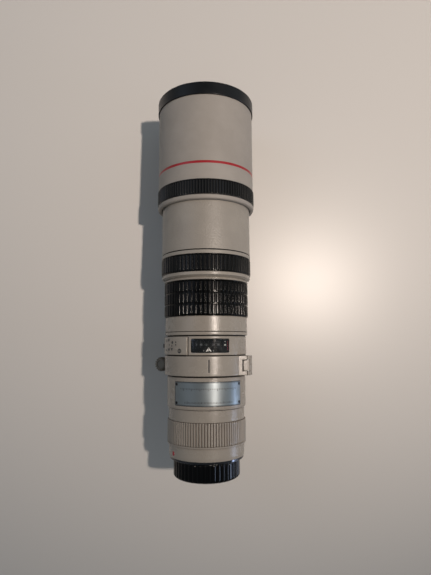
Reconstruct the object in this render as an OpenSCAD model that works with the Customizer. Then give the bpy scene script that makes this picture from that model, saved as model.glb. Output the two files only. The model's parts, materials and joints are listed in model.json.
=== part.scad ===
// Long white telephoto lens with a draw-out hood, an inner focusing group, an eight-blade iris
// and a hinged, removable tripod collar with its foot.
// Every piece is drawn along +Z from the mount face and then laid along +Y, front element forward.
// The index mark is at the top, and angles round the lens are counted from it, clockwise from behind.

/* [Mount end] */
// Outer diameter of the chrome mount ring
flange_d = 64.6; // [62:0.2:65.4]
// Thickness of the chrome mount ring's flange
flange_t = 1.8; // [1.4:0.1:2.6]
// Outer diameter of the bayonet tube
bayonet_tube_d = 50.8; // [50:0.2:51.4]
// How far the bayonet tabs stand out from the tube
tab_reach = 1.4; // [1:0.1:1.5]
// How far the bayonet tube stands behind the mount face
bayonet_len = 5.4; // [4.8:0.2:6.4]

/* [Barrel diameters] */
// Plain section just ahead of the mount
rear_d = 65.9; // [65:0.1:67]
// Ribbed section that the hand holds when the lens is mounted
grip_d = 68.7; // [67.8:0.1:70]
// Waist between the ribbed section and the nameplate
waist_d = 66.6; // [65.4:0.1:68]
// Band that carries the nameplate
plate_band_d = 69.5; // [68.6:0.1:71]
// Seat that the tripod collar turns on
seat_d = 66.4; // [65.6:0.1:66.6]
// Band with the distance window
window_band_d = 71.6; // [71:0.1:72.4]
// Fixed band behind the focusing ring
mid_band_d = 73.8; // [72.8:0.1:74.8]
// Front barrel that the hood slides on
front_d = 80.5; // [80.1:0.1:80.8]

/* [Barrel lengths] */
// Plain section, from the mount ring to the ribs
rear_len = 10.5; // [9:0.5:14]
// Ribbed section
grip_len = 20.5; // [16:0.5:26]
// Waist
waist_len = 10.2; // [10.2:0.4:18]
// Nameplate band
plate_band_len = 27.1; // [25:0.1:28]
// Window band
window_band_len = 15.8; // [15:0.1:18]
// Fixed band behind the focusing ring
mid_band_len = 15.8; // [14.8:0.1:19]
// Focusing ring with its end clearances
focus_len = 30.8; // [27:0.2:36]
// Stepped band ahead of the focusing ring
step_band_len = 6.4; // [5.6:0.2:9]
// Narrow ribbed holding ring
hold_ring_len = 15.2; // [12:0.4:18]
// Plain band ahead of the holding ring
front_band_len = 3.9; // [3:0.1:7]
// Front barrel
front_len = 80; // [76:1:92]

/* [Focusing] */
// Diameter over the rubber ribs of the focusing ring
focus_d = 75.6; // [75.2:0.1:76.6]
// Ribs round the focusing ring
focus_ribs = 68; // [40:2:90]
// How far the ring turns from the rest position towards the near end
focus_near_turn = 90; // [60:5:90]
// How far the ring turns from the rest position towards infinity
focus_far_turn = 60; // [40:5:60]
// Travel of the focusing group over the ring's whole turn
focus_travel = 14; // [10:1:15]

/* [Distance window] */
// Length of the window along the lens
window_len = 11.6; // [9:0.2:12]
// Angle of the window's left edge from the index mark
window_left = 24.5; // [16:0.5:25]
// Angle of the window's right edge from the index mark
window_right = 29.5; // [16:0.5:36]

/* [Tripod collar] */
// Width of the collar along the lens
collar_w = 16.5; // [16:0.5:19]
// Outer diameter of the collar
collar_d = 74.1; // [73.4:0.1:75.4]
// Angle of the hinge from the index mark
hinge_at = 57; // [54:1:64]
// Distance of the hinge pin from the lens axis
hinge_r = 40.6; // [40.2:0.1:41.2]
// Diameter of the hinge pin
hinge_pin_d = 3; // [2.4:0.2:3.4]
// Diameter of the clamp knob
knob_d = 13; // [11:0.5:14]
// Height of the clamp knob
knob_h = 6; // [5:0.5:9]
// Height of the lens axis over the underside of the foot
foot_drop = 59; // [56:1:68]
// Length of the foot across the lens
foot_w = 40; // [36:1:46]
// Length of the foot along the lens
foot_len = 30; // [26:1:34]
// Radius of the tripod socket's thread
tripod_thread_r = 3.2; // [3.2:0.1:3.8]

/* [Hood] */
// Length of the hood with its rim
hood_len = 105; // [98:1:110]
// How far the hood is drawn out, which is also its travel
hood_out = 67; // [60:1:67]
// Outer diameter of the hood tube
hood_d = 88; // [87.4:0.1:89]
// How far the hood's rim stands out from the tube
rim_rise = 1; // [0.5:0.1:2]
// Length of the hood's rim
rim_len = 11.5; // [9:0.5:14]
// Length of the hood's ribbed turning ring
hood_ring_len = 13.7; // [11:0.1:16]
// Ribs round the hood's turning ring
hood_ribs = 126; // [60:2:140]

/* [Iris] */
// Blades in the iris
blades = 8; // [8]
// Radius of the opening with the blades fully back
iris_open_r = 13; // [12.6:0.1:13.2]
// Swing of each blade from open to its smallest opening
blade_swing = 26; // [18:1:26]
// Turn of the drive ring for that swing
iris_ring_turn = 32.5; // [30:0.5:34]

/* [Rear cap] */
// Wall of the rear cap with its ridges
cap_wall = 1.75; // [1.5:0.05:2.4]
// Depth of the rear cap
cap_len = 16; // [13:0.5:19]

/* [Hidden] */

// Colours
paint = "#b7b2a6";
grip_black = "#1c1d1f";
satin_black = "#17181b";
chrome_grey = "#d6d7d8";
steel_grey = "#9b9da0";
inner_black = "#232324";
brass_gold = "#c9a24a";
glass_blue = "#b9c9d6";
plate_blue = "#a9bccb";

// Clearances and small shared sizes
run_fit = 0.1;          // radial clearance of what turns or slides on a seat
pin_fit = 0.05;         // radial clearance of a pin in its hole or slot
free_gap = 0.3;         // gap between bodies that pass each other
overrun = 1;            // how far a cutting shape runs past what it cuts
wall = 1.4;             // usual wall of a barrel piece
edge = 0.4;             // usual small chamfer
$fn = 180;              // sides of a round outline where it is drawn as a polygon

// Places along the lens, each from the one behind it
rear_taper_len = 2.5;
z_grip = flange_t + rear_len;
z_waist = z_grip + grip_len;
z_plate_band = z_waist + waist_len;
z_seat = z_plate_band + plate_band_len;
seat_len = collar_w + 2 * free_gap;
z_shoulder = z_seat + seat_len;
shoulder_len = 0.4;
z_window = z_shoulder + shoulder_len;
z_relief = z_window + window_band_len;
relief_len = 1;
z_mid = z_relief + relief_len;
z_focus = z_mid + mid_band_len;
z_step = z_focus + focus_len;
z_hold = z_step + step_band_len;
z_front_band = z_hold + hold_ring_len;
z_front = z_front_band + front_band_len;
z_front_end = z_front + front_len;

// Radii
flange_r = flange_d / 2;
tube_r = bayonet_tube_d / 2;
tab_r = tube_r + tab_reach;
rear_r = rear_d / 2;
grip_r = grip_d / 2;
waist_r = waist_d / 2;
plate_band_r = plate_band_d / 2;
seat_r = seat_d / 2;
window_band_r = window_band_d / 2;
mid_band_r = mid_band_d / 2;
front_r = front_d / 2;
focus_r = focus_d / 2;
collar_r = collar_d / 2;
hood_r = hood_d / 2;
rim_r = hood_r + rim_rise;

// Bores of the barrel, each clear of what turns inside it
inner_bore_r = 29.8;                       // bore of the fixed inner tube
inner_tube_r = inner_bore_r + wall;
cam_tube_wall = 1.2;
cam_bore_r = inner_tube_r + run_fit;
cam_tube_r = cam_bore_r + cam_tube_wall;
main_bore_r = inner_tube_r + free_gap;
drum_r = 34.1;
drum_bore_r = drum_r + free_gap;
rear_bore_r = main_bore_r - 0.36 * wall;
shoulder_r = drum_bore_r + 0.43 * wall;
sleeve_r = 35.3;                           // sleeve that the focusing ring turns on
sleeve_bore_r = sleeve_r - wall;
front_bore_r = front_r - 1.18 * wall;
hold_seat_r = front_bore_r + 0.7 * wall;

// Mount ring, bayonet and what stands inside it
bayonet_wall = 1.4;
throat_r = tube_r - bayonet_wall;
tab_count = 3;
tab_turn = 54;
tab_at = 20;
tab_gap = 2.5;
tab_t = 1.4;
mount_screw_count = 4;
mount_screw_at = 38;
mount_screw_pcr = (tube_r + flange_r) / 2;
mount_screw_head_r = 1.5;
mount_screw_head_t = 0.8;
mount_screw_r = 0.85;
mount_screw_len = 3.9;
lock_hole_r = 1.6;
lock_hole_at = 105;
rear_floor_t = 1.8;
dot_r = 1.6;
dot_at = -61.5;
dot_rise = 0.5;
dot_sink = 0.4;
dot_z = z_grip - 6.4;
baffle_t = 1.4;
baffle_back = 0.4;
baffle_window_w = 1.29 * throat_r;
baffle_window_h = 0.875 * throat_r;
baffle_corner_r = 3;
contact_at = 180;
contact_turn = 66;
contact_w = 4.8;
contact_out_r = throat_r - 0.6;
contact_in_r = contact_out_r - contact_w;
contact_depth = 5.6;
contact_count = 8;
contact_pitch = 7.6;
contact_pin_r = 0.75;
contact_pin_h = 0.5;

// Ribbed grip and waist
grip_ribs = 90;
grip_rib_h = 0.75;
bead_w = 1;
bead_drop = 0.55;
bead_groove = 0.45;
tongue_len = 4;
tongue_t = 1.2;

// Nameplate
plate_half_turn = 52;
plate_margin = 3.4;
plate_t = 0.3;
rivet_r = 0.75;
rivet_rise = 0.3;
rivet_inset = 2;
plate_in_r = plate_band_r;
plate_len = plate_band_len - 2 * plate_margin - 1.1 * bead_w;
plate_z = z_plate_band + plate_margin;

// Distance window
window_inset = (window_band_len - window_len) / 2;
glass_t = 0.8;
glass_sink = 0.1;
drum_end_gap = 0.6;

// Switch panel, sliders and their slots
panel_right = -28.6;
panel_left = -118;
panel_rise = 1.8;
panel_end_gap = 0.5;
panel_bevel = 0.7;
slot_floor = 0.5;
slot_turn = 14;
slot_w = 4.2;
slider_turn = 7.4;
slider_travel = 5.6;
slider_t = 0.8;
nub_rise = 1.3;
nub_turn = 3.2;
mode_switch_at = -94;
range_switch_at = -110;

// Middle barrel and motor
mid_lip_len = 0.6;
mid_groove_at = 2.6;
mid_groove_w = 0.5;
mid_groove_d = 0.3;
mid_floor_t = 2.4;
stator_z = z_mid + mid_lip_len + 0.5;
stator_len = 5;
rotor_len = 3.6;
motor_r = mid_band_r - 1.3 * wall;
comb_teeth = 60;
comb_depth = 1.2;

// Focusing ring and its rubber
ring_t = 1.2;
focus_bore_r = sleeve_r + run_fit;
ring_r = focus_bore_r + ring_t;
rubber_rib_h = 0.75;
rubber_rows = 3;
rubber_row_gap = 0.9;
rubber_end = 0.7;

// Fixed inner tube, cam tube and follower rollers
tube_rear_z = z_waist + tongue_len;
inner_flange_len = 3;
roller_count = 3;
roller_r = 1.5;
roller_z = z_focus + focus_len / 2;
roller_reach = cam_tube_r - 0.2;
cam_steps = 12;
cam_share = 0.5;                            // turn of the cam tube per turn of the focusing ring
cam_lead = focus_travel / ((focus_near_turn + focus_far_turn) * cam_share);
cam_far = focus_far_turn * cam_share;
cam_near = focus_near_turn * cam_share;
slot_end_gap = 0.3;

// Focusing cell and its doublet
cell_r = inner_bore_r - run_fit;
cell_t = 1.8;
cell_len = 20;
doublet_r = 21;
doublet_t = 9;
doublet_front_curve = 70;
doublet_back_curve = 90;

// Iris
iris_z = z_mid + 1.2;
iris_plate_t = 1.2;
iris_ring_r = 22;
iris_ring_gap = 0.2;
iris_rim_t = 2;
blade_t = 0.1;
blade_w = 5.8;
blade_span = 104;
blade_over = 8;
blade_tilt = 5;
blade_pivot_r = iris_open_r + 0.724 * blade_w;
blade_lift = 0.55;
blade_pin_r = 0.6;
cam_pin_turn = 14;
blade_ratio = blade_swing / iris_ring_turn;
iris_steps = 8;
iris_bore_r = iris_open_r + free_gap;

// Place of the cam pin seen from the blade's pivot, before the blade swings
cam_pin_arm = 2 * blade_pivot_r * sin(cam_pin_turn / 2);
cam_pin_dir = 90 + cam_pin_turn / 2;

// Place of a cam pin once the drive ring has turned by t, seen from the turning ring
function cam_pin_at(t) =
    let (a = cam_pin_dir + blade_ratio * t,
        x = blade_pivot_r + cam_pin_arm * cos(a),
        y = cam_pin_arm * sin(a))
    [x * cos(t) + y * sin(t), y * cos(t) - x * sin(t)];

// Path of the cam pin seen from the base plate, and seen from the drive ring
pin_window_path = [for (i = [0 : iris_steps])
    let (a = cam_pin_dir + i * blade_swing / iris_steps)
    cam_pin_arm * [cos(a), sin(a)]];
drive_path = [for (i = [0 : iris_steps]) cam_pin_at(i * iris_ring_turn / iris_steps)];

// Rear glass
rear_cell_z = z_plate_band + 11;
rear_cell_len = 26;
sixth_r = 19;
sixth_t = 6;
rear_el_r = 17.5;
rear_el_t = 4;
rear_cell_wall = 2;
sixth_curve = 60;
rear_el_curve = 80;

// Circuit board
board_z = z_waist - tongue_len - 4;
board_t = 1.2;
board_in_r = 22;

// Front glass, counted back from the front end
filter_r = 38.5;
filter_len = 5.5;
filter_ring_len = 6;
filter_tongue_len = 3.5;
front_back = 11.5;
front_el_r = 37;
front_el_t = 9;
front_el_curve = 190;
front_el_back_curve = 400;
retainer_t = 2.2;
retainer_w = 1.8;
second_gap = 4.8;
second_r = 35.5;
second_t = 8;
second_curve = 150;
second_back_curve = 500;
third_gap = 5.6;
third_r = 33;
third_t = 3.2;
third_curve = 180;
third_back_curve = 130;
cell_lip = 1.6;
front_el_z = z_front_end - front_back;
second_z = front_el_z - front_el_t - second_gap;
third_z = second_z - second_t - third_gap;
front_cell_back = third_z - 11;

// Holding ring, stepped band and front band
hold_ribs = 74;
hold_rib_h = 0.7;
hold_r = front_r + 0.4;
step_bead_share = 0.16;
front_plate_t = 2;
front_band_rise = 0.25;
front_groove = 0.9;
front_groove_d = 0.6;

// Collar, hinge, clamp and foot
z_collar = z_seat + free_gap;
z_collar_mid = z_collar + collar_w / 2;
collar_bore_r = seat_r + free_gap;
split_gap = 0.4;
clamp_gap = 1;
hinge_split = split_gap / collar_r * 90 / PI;  // half turn of the split at the hinge
clamp_split = clamp_gap / collar_r * 90 / PI;  // half turn of the split at the clamp
ear_w = 3.5;
knuckle_r = 2.9;
flute_turn = 20;
lug_w = 11;
lug_up = 3;
lug_down = 8;
lug_out = 4.4;
screw_r = 2;
screw_free = 0.7;
screw_reach = 7;
clamp_r = collar_r + free_gap + knob_d / 2;
knob_ribs = 22;
knob_rib_h = 0.5;
knob_neck = 0.5;
neck_w = 27;
neck_len = 15.5;
neck_flare = 4;
pad_t = 6;
pad_corner = 7;
socket_r = 5.5;
socket_depth = 6;
thread_depth = 5.5;
mark_w = 1;
mark_len = 10.4;
mark_d = 0.25;

// Hood
z_hood_front = z_front_end + hood_out;
z_hood = z_hood_front - hood_len;
lip_len = 3.8;
lip_rise = 0.5;
lip_wall = 1.8;
hood_wall = 1.2;
lining_t = 0.5;
guide_len = 19;
hood_ring_h = 0.65;
hood_rib_h = 0.45;
line_at = 14.4;
line_w = 1.7;
line_d = 0.2;
rim_over = 3;
rim_round = 1.2;
guide_r = hood_r - hood_wall - run_fit;
hood_bore_r = hold_r + free_gap;             // clears the holding ring when the hood goes back
z_hood_ring = z_hood + lip_len;

// Rear cap
cap_gap = 0.3;
cap_floor = 1.7;
cap_ribs = 44;
cap_rib_h = 0.5;
cap_lip = 2;
cap_lug_t = 1.3;
cap_lug_at = 0.5;
cap_lug_turn = 40;
cap_bore_r = tab_r + free_gap;
cap_r = cap_bore_r + cap_wall;

// Lays a piece drawn along +Z along +Y, with the top of the lens up
module lens_frame() rotate([-90, 0, 0]) children();

// Turns a piece drawn towards +X so that it points at angle a from the index mark
module toward(a) rotate([0, 0, a - 90]) children();

// Ring between two radii and two places along the lens
module ring(in_r, out_r, z0, z1) {
    rotate_extrude() translate([in_r, z0]) square([out_r - in_r, z1 - z0]);
}

// Part of a ring between two angles from the index mark
module sector(in_r, out_r, z0, z1, a0, a1) {
    rotate_extrude(angle = a1 - a0, start = a0 - 90)
        translate([in_r, z0]) square([out_r - in_r, z1 - z0]);
}

// Piece turned from an outline of [radius, place along the lens]
module turned(outline) rotate_extrude() polygon(outline);

// Corners of a ribbed outline: each rib has a flat land and sloping flanks
function rib_points(r, depth, count, land_share, root_share) = [
    for (i = [0 : count - 1])
    for (corner = [[0, -root_share], [depth, -land_share], [depth, land_share], [0, root_share]])
    let (a = (i + corner[1] / 2) * 360 / count, q = r - depth + corner[0])
    [q * cos(a), q * sin(a)]
];

// Ribbed ring between a round bore and its rib lands
module ribbed_ring(in_r, r, depth, count, z0, z1, land_share, root_share) {
    translate([0, 0, z0]) linear_extrude(z1 - z0) difference() {
        polygon(rib_points(r, depth, count, land_share, root_share));
        circle(in_r);
    }
}

// Ribbed bar and plain bar, from which a moulded sleeve is put together before it is bored
module ribbed_bar(r, depth, count, z0, z1) {
    translate([0, 0, z0]) linear_extrude(z1 - z0) polygon(rib_points(r, depth, count, 0.5, 0.66));
}

module bar(r, z0, z1) translate([0, 0, z0]) cylinder(r = r, h = z1 - z0);

// Depth of a spherical face of radius c at distance r from its vertex
function sag(c, r) = c - sqrt(c * c - r * r);

// Lens element with spherical faces, its front vertex at the origin and its back below it.
// A face bulges where its curve is positive and is hollow where it is negative.
module element(r, thick, front_curve, back_curve) {
    steps = 12;
    turned(concat(
        [for (i = [0 : steps])
            let (q = r * i / steps)
            [q, -sign(front_curve) * sag(abs(front_curve), q)]],
        [for (i = [steps : -1 : 0])
            let (q = r * i / steps)
            [q, -thick + sign(back_curve) * sag(abs(back_curve), q)]]));
}

module mount_ring() color(chrome_grey) lens_frame() difference() {
    union() {
        turned([[throat_r, -bayonet_len], [tube_r - edge, -bayonet_len],
            [tube_r, -bayonet_len + edge], [tube_r, 0], [flange_r - edge / 2, 0],
            [flange_r, edge / 2], [flange_r, flange_t], [throat_r, flange_t]]);
        for (i = [0 : tab_count - 1])
            sector(tube_r - bayonet_wall / 2, tab_r, -tab_gap - tab_t, -tab_gap,
                tab_at + i * 360 / tab_count - tab_turn / 2,
                tab_at + i * 360 / tab_count + tab_turn / 2);
    }
    for (i = [0 : mount_screw_count - 1])
        toward(mount_screw_at + i * 360 / mount_screw_count) translate([mount_screw_pcr, 0, 0]) {
            translate([0, 0, -overrun]) cylinder(r = mount_screw_r + pin_fit, h = flange_t + 2 * overrun);
            translate([0, 0, -overrun])
                cylinder(r = mount_screw_head_r + pin_fit, h = mount_screw_head_t + overrun);
        }
    toward(lock_hole_at) translate([mount_screw_pcr, 0, -overrun])
        cylinder(r = lock_hole_r, h = flange_t + 2 * overrun);
}

module mount_screws() color(steel_grey) lens_frame()
    for (i = [0 : mount_screw_count - 1])
        toward(mount_screw_at + i * 360 / mount_screw_count) translate([mount_screw_pcr, 0, 0])
            difference() {
                union() {
                    cylinder(r = mount_screw_head_r, h = mount_screw_head_t);
                    cylinder(r = mount_screw_r, h = mount_screw_len);
                }
                cross_slot(mount_screw_head_r, mount_screw_head_t);
            }

// Cross slot in a small screw head that faces the rear
module cross_slot(r, depth) {
    for (a = [0, 90])
        rotate([0, 0, a]) translate([-0.6 * r, -0.11 * r, -overrun])
            cube([1.2 * r, 0.22 * r, overrun + depth / 2]);
}

module rear_baffle() color(inner_black) lens_frame() difference() {
    ring(0, throat_r, -baffle_back, baffle_t - baffle_back);
    translate([0, 0, -baffle_back - overrun]) linear_extrude(baffle_t + 2 * overrun)
        rounded_window(baffle_window_w, baffle_window_h, baffle_corner_r);
}

// Rectangle with round corners, centred
module rounded_window(w, h, r) {
    square([w, h - 2 * r], center = true);
    square([w - 2 * r, h], center = true);
    for (sx = [-1, 1])
        for (sy = [-1, 1])
            translate([sx * (w / 2 - r), sy * (h / 2 - r)]) circle(r);
}

module contact_block() color(inner_black) lens_frame() difference() {
    sector(contact_in_r, contact_out_r, -baffle_back - contact_depth, -baffle_back,
        contact_at - contact_turn / 2, contact_at + contact_turn / 2);
    contact_places() translate([0, 0, -contact_depth - baffle_back - overrun])
        cylinder(r = contact_pin_r, h = contact_depth / 2 + overrun);
}

// Puts a child at each contact
module contact_places() {
    for (i = [0 : contact_count - 1])
        toward(contact_at + (i - (contact_count - 1) / 2) * contact_pitch)
            translate([(contact_in_r + contact_out_r) / 2, 0, 0]) children();
}

module contact_pins() color(brass_gold) lens_frame()
    contact_places() translate([0, 0, -contact_depth - baffle_back - contact_pin_h])
        cylinder(r = contact_pin_r, h = contact_depth / 2 + contact_pin_h);

module mount_dot() color("#b3202a") lens_frame() toward(dot_at) translate([0, 0, dot_z])
    rotate([0, 90, 0]) translate([0, 0, rear_r - dot_sink]) intersection() {
        cylinder(r = dot_r, h = dot_sink + dot_rise);
        translate([0, 0, dot_sink + dot_rise - 2 * dot_r]) sphere(r = 2 * dot_r);
    }

module rear_barrel() color(paint) lens_frame() difference() {
    union() {
        turned([[throat_r + edge, flange_t], [rear_r - 1.5 * edge, flange_t],
            [rear_r, flange_t + rear_taper_len], [rear_r, z_grip],
            [grip_r - grip_rib_h, z_grip], [grip_r - grip_rib_h, z_waist],
            [rear_bore_r, z_waist], [rear_bore_r, flange_t + rear_floor_t],
            [throat_r + edge, flange_t + rear_floor_t]]);
        ribbed_ring(grip_r - 2 * grip_rib_h, grip_r, grip_rib_h, grip_ribs, z_grip, z_waist,
            0.62, 0.76);
    }
    for (i = [0 : mount_screw_count - 1])
        toward(mount_screw_at + i * 360 / mount_screw_count)
            translate([mount_screw_pcr, 0, flange_t - overrun])
                cylinder(r = mount_screw_r + pin_fit, h = rear_floor_t + 2 * overrun);
    toward(dot_at) translate([0, 0, dot_z]) rotate([0, 90, 0])
        translate([0, 0, rear_r - dot_sink]) cylinder(r = dot_r + pin_fit, h = dot_sink + overrun);
}

module main_barrel() color(paint) lens_frame() difference() {
    turned([[rear_bore_r - tongue_t, z_waist - tongue_len], [rear_bore_r, z_waist - tongue_len],
        [rear_bore_r, z_waist], [waist_r, z_waist],
        [waist_r, z_plate_band - bead_groove], [waist_r - bead_groove, z_plate_band - bead_groove],
        [waist_r - bead_groove, z_plate_band], [plate_band_r - bead_drop - edge, z_plate_band],
        [plate_band_r - bead_drop, z_plate_band + edge],
        [plate_band_r - bead_drop, z_plate_band + bead_w],
        [plate_band_r - edge, z_plate_band + bead_w], [plate_band_r, z_plate_band + bead_w + edge],
        [plate_band_r, z_seat - edge], [plate_band_r - edge, z_seat],
        [seat_r, z_seat], [seat_r, z_shoulder],
        [shoulder_r, z_shoulder], [shoulder_r, z_window],
        [main_bore_r, z_window], [main_bore_r, tube_rear_z],
        [rear_bore_r - tongue_t, tube_rear_z]]);
    for (sa = [-1, 1])
        for (end = [0, 1])
            rivet_place(sa, end) cylinder(r = rivet_r, h = plate_band_r);
}

// Puts a child, pointing outwards, at one of the nameplate's four corners
module rivet_place(side, end) {
    inset_turn = rivet_inset / plate_band_r * 180 / PI;
    toward(side * (plate_half_turn - inset_turn))
        translate([0, 0, plate_z + rivet_inset + end * (plate_len - 2 * rivet_inset)])
            rotate([0, 90, 0]) translate([0, 0, plate_band_r - wall / 2]) children();
}

module nameplate() color(plate_blue) lens_frame() difference() {
    sector(plate_in_r, plate_in_r + plate_t, plate_z, plate_z + plate_len,
        -plate_half_turn, plate_half_turn);
    for (sa = [-1, 1])
        for (end = [0, 1])
            rivet_place(sa, end) cylinder(r = rivet_r, h = plate_band_r);
}

module nameplate_rivets() color(satin_black) lens_frame()
    for (sa = [-1, 1])
        for (end = [0, 1])
            rivet_place(sa, end) cylinder(r = rivet_r, h = wall / 2 + plate_t + rivet_rise);

module window_barrel() color(paint) lens_frame() difference() {
    turned([[drum_bore_r, z_window], [window_band_r - edge, z_window],
        [window_band_r, z_window + edge], [window_band_r, z_relief - edge],
        [window_band_r - edge, z_relief], [shoulder_r, z_relief], [shoulder_r, z_mid],
        [drum_bore_r, z_mid]]);
    sector(drum_bore_r - overrun, window_band_r + overrun, z_window + window_inset,
        z_relief - window_inset, -window_left, window_right);
}

module window_glass() color(glass_blue, 0.4) lens_frame() {
    side_fit = pin_fit / window_band_r * 180 / PI;
    sector(window_band_r - glass_sink - glass_t, window_band_r - glass_sink,
        z_window + window_inset + pin_fit, z_relief - window_inset - pin_fit,
        -window_left + side_fit, window_right - side_fit);
}

// Slot of one slider in the switch panel
module switch_slot(a) {
    z = z_window + window_band_len / 2;
    sector(window_band_r + slot_floor, window_band_r + panel_rise + overrun,
        z - slot_w / 2, z + slot_w / 2, a - slot_turn / 2, a + slot_turn / 2);
}

module switch_panel() color(paint) lens_frame() difference() {
    union() {
        bevel_turn = panel_bevel / window_band_r * 180 / PI;
        rotate_extrude(angle = panel_right - panel_left - 2 * bevel_turn,
            start = panel_left + bevel_turn - 90)
            panel_section(panel_rise);
        rotate_extrude(angle = panel_right - panel_left, start = panel_left - 90)
            panel_section(panel_rise / 2);
    }
    switch_slot(mode_switch_at);
    switch_slot(range_switch_at);
}

// Section of the switch panel at a given height over the band
module panel_section(rise) {
    z0 = z_window + panel_end_gap;
    z1 = z_relief - panel_end_gap;
    polygon([[window_band_r, z0], [window_band_r + rise - edge, z0],
        [window_band_r + rise, z0 + edge], [window_band_r + rise, z1 - edge],
        [window_band_r + rise - edge, z1], [window_band_r, z1]]);
}

// Slider that sits in its slot at the upper end of its travel
module slider(a) {
    z = z_window + window_band_len / 2;
    half_w = slot_w / 2 - free_gap;
    mid = a - slider_travel / 2;
    floor_r = window_band_r + slot_floor + free_gap;
    sector(floor_r, floor_r + slider_t, z - half_w, z + half_w,
        mid - slider_turn / 2, mid + slider_turn / 2);
    sector(floor_r, window_band_r + panel_rise + nub_rise, z - half_w, z + half_w,
        mid - nub_turn / 2, mid + nub_turn / 2);
}

module focus_mode_switch() color(satin_black) lens_frame() slider(mode_switch_at);

module range_switch() color(satin_black) lens_frame() slider(range_switch_at);

module middle_barrel() color(paint) lens_frame() {
    groove_z = z_mid + mid_groove_at;
    turned([[drum_bore_r, z_mid], [mid_band_r - edge, z_mid], [mid_band_r, z_mid + edge],
        [mid_band_r, groove_z], [mid_band_r - mid_groove_d, groove_z],
        [mid_band_r - mid_groove_d, groove_z + mid_groove_w], [mid_band_r, groove_z + mid_groove_w],
        [mid_band_r, z_focus - edge], [mid_band_r - edge, z_focus],
        [sleeve_r, z_focus], [sleeve_r, z_hold], [sleeve_bore_r, z_hold],
        [sleeve_bore_r, z_focus - mid_floor_t], [motor_r, z_focus - mid_floor_t],
        [motor_r, z_mid + mid_lip_len], [drum_bore_r, z_mid + mid_lip_len]]);
}

module motor_stator() color(brass_gold) lens_frame() difference() {
    ring(cam_tube_r + free_gap, motor_r, stator_z, stator_z + stator_len);
    for (i = [0 : comb_teeth - 1])
        rotate([0, 0, i * 360 / comb_teeth])
            translate([cam_tube_r, -pin_fit * 4, stator_z + stator_len - comb_depth])
                cube([motor_r - cam_tube_r + overrun, pin_fit * 8, comb_depth + overrun]);
}

module motor_rotor() color(steel_grey) lens_frame()
    ring(cam_tube_r + free_gap, motor_r - free_gap, stator_z + stator_len + free_gap,
        stator_z + stator_len + free_gap + rotor_len);

module circuit_board() color("#2f5a3c") lens_frame() difference() {
    ring(board_in_r, rear_bore_r, board_z, board_z + board_t);
    for (a = [75, 285])
        toward(a) translate([rear_bore_r, 0, board_z - overrun])
            cylinder(r = 2 * board_t, h = board_t + 2 * overrun);
}

// Straight slots that guide the follower rollers along the fixed tube
module guide_slots() {
    z0 = roller_z - cam_lead * cam_far - slot_end_gap;
    z1 = roller_z + cam_lead * cam_near + slot_end_gap;
    for (i = [0 : roller_count - 1])
        toward(i * 360 / roller_count + 60) {
            for (z = [z0, z1])
                translate([inner_bore_r - overrun, 0, z]) rotate([0, 90, 0])
                    cylinder(r = roller_r + pin_fit, h = wall + 2 * overrun);
            translate([inner_bore_r - overrun, -roller_r - pin_fit, z0])
                cube([wall + 2 * overrun, 2 * (roller_r + pin_fit), z1 - z0]);
        }
}

module inner_tube() color(inner_black) lens_frame() difference() {
    union() {
        ring(inner_bore_r, inner_tube_r, tube_rear_z, z_hold);
        ring(inner_bore_r, main_bore_r, tube_rear_z, tube_rear_z + inner_flange_len);
        ring(inner_bore_r, sleeve_bore_r, z_hold - inner_flange_len, z_hold);
    }
    guide_slots();
}

module cam_tube() color(steel_grey) lens_frame() difference() {
    ring(cam_bore_r, cam_tube_r, z_window + drum_end_gap, z_hold - inner_flange_len - free_gap);
    for (i = [0 : roller_count - 1])
        toward(i * 360 / roller_count + 60) cam_slot();
}

// Sloping slot that drives one roller: short straight cuts along a steady lead
module cam_slot() {
    rise_per_turn = cam_lead * 180 / PI;
    slope = atan(rise_per_turn / cam_tube_r);
    gap_turn = slot_end_gap / cam_tube_r * 180 / PI;
    first = -cam_far - gap_turn;
    last = cam_near + gap_turn;
    step = (last - first) / cam_steps;
    cut_len = cam_tube_r * step * PI / 180 / cos(slope);
    for (i = [0 : cam_steps - 1]) {
        c = first + (i + 0.5) * step;
        rotate([0, 0, -c]) translate([cam_bore_r - overrun, 0, roller_z + cam_lead * c])
            rotate([-slope, 0, 0]) translate([0, -0.52 * cut_len, -roller_r - pin_fit])
                cube([cam_tube_wall + 2 * overrun, 1.04 * cut_len, 2 * (roller_r + pin_fit)]);
    }
    for (c = [first, last])
        rotate([0, 0, -c]) translate([cam_bore_r - overrun, 0, roller_z + cam_lead * c])
            rotate([0, 90, 0]) cylinder(r = roller_r + pin_fit, h = cam_tube_wall + 2 * overrun);
}

module scale_drum() color(satin_black) lens_frame()
    ring(cam_tube_r, drum_r, z_window + drum_end_gap, z_relief - drum_end_gap);

module focus_ring() color(satin_black) lens_frame() turned([
    [focus_bore_r, z_focus + free_gap], [ring_r, z_focus + free_gap],
    [ring_r, z_step - free_gap], [focus_bore_r, z_step - free_gap]]);

module focus_rubber() color(grip_black) lens_frame() difference() {
    z0 = z_focus + free_gap;
    z1 = z_step - free_gap;
    row = (z1 - z0 - 2 * rubber_end - (rubber_rows - 1) * rubber_row_gap) / rubber_rows;
    end_r = focus_r - 0.2 * rubber_rib_h;
    union() {
        bar(focus_r - 1.2 * rubber_rib_h, z0, z1);
        bar(end_r, z0, z0 + rubber_end);
        bar(end_r, z1 - rubber_end, z1);
        for (i = [0 : rubber_rows - 1]) {
            start = z0 + rubber_end + i * (row + rubber_row_gap);
            ribbed_bar(focus_r, rubber_rib_h, focus_ribs, start, start + row);
        }
    }
    bar(ring_r, z0 - overrun, z1 + overrun);
}

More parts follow.
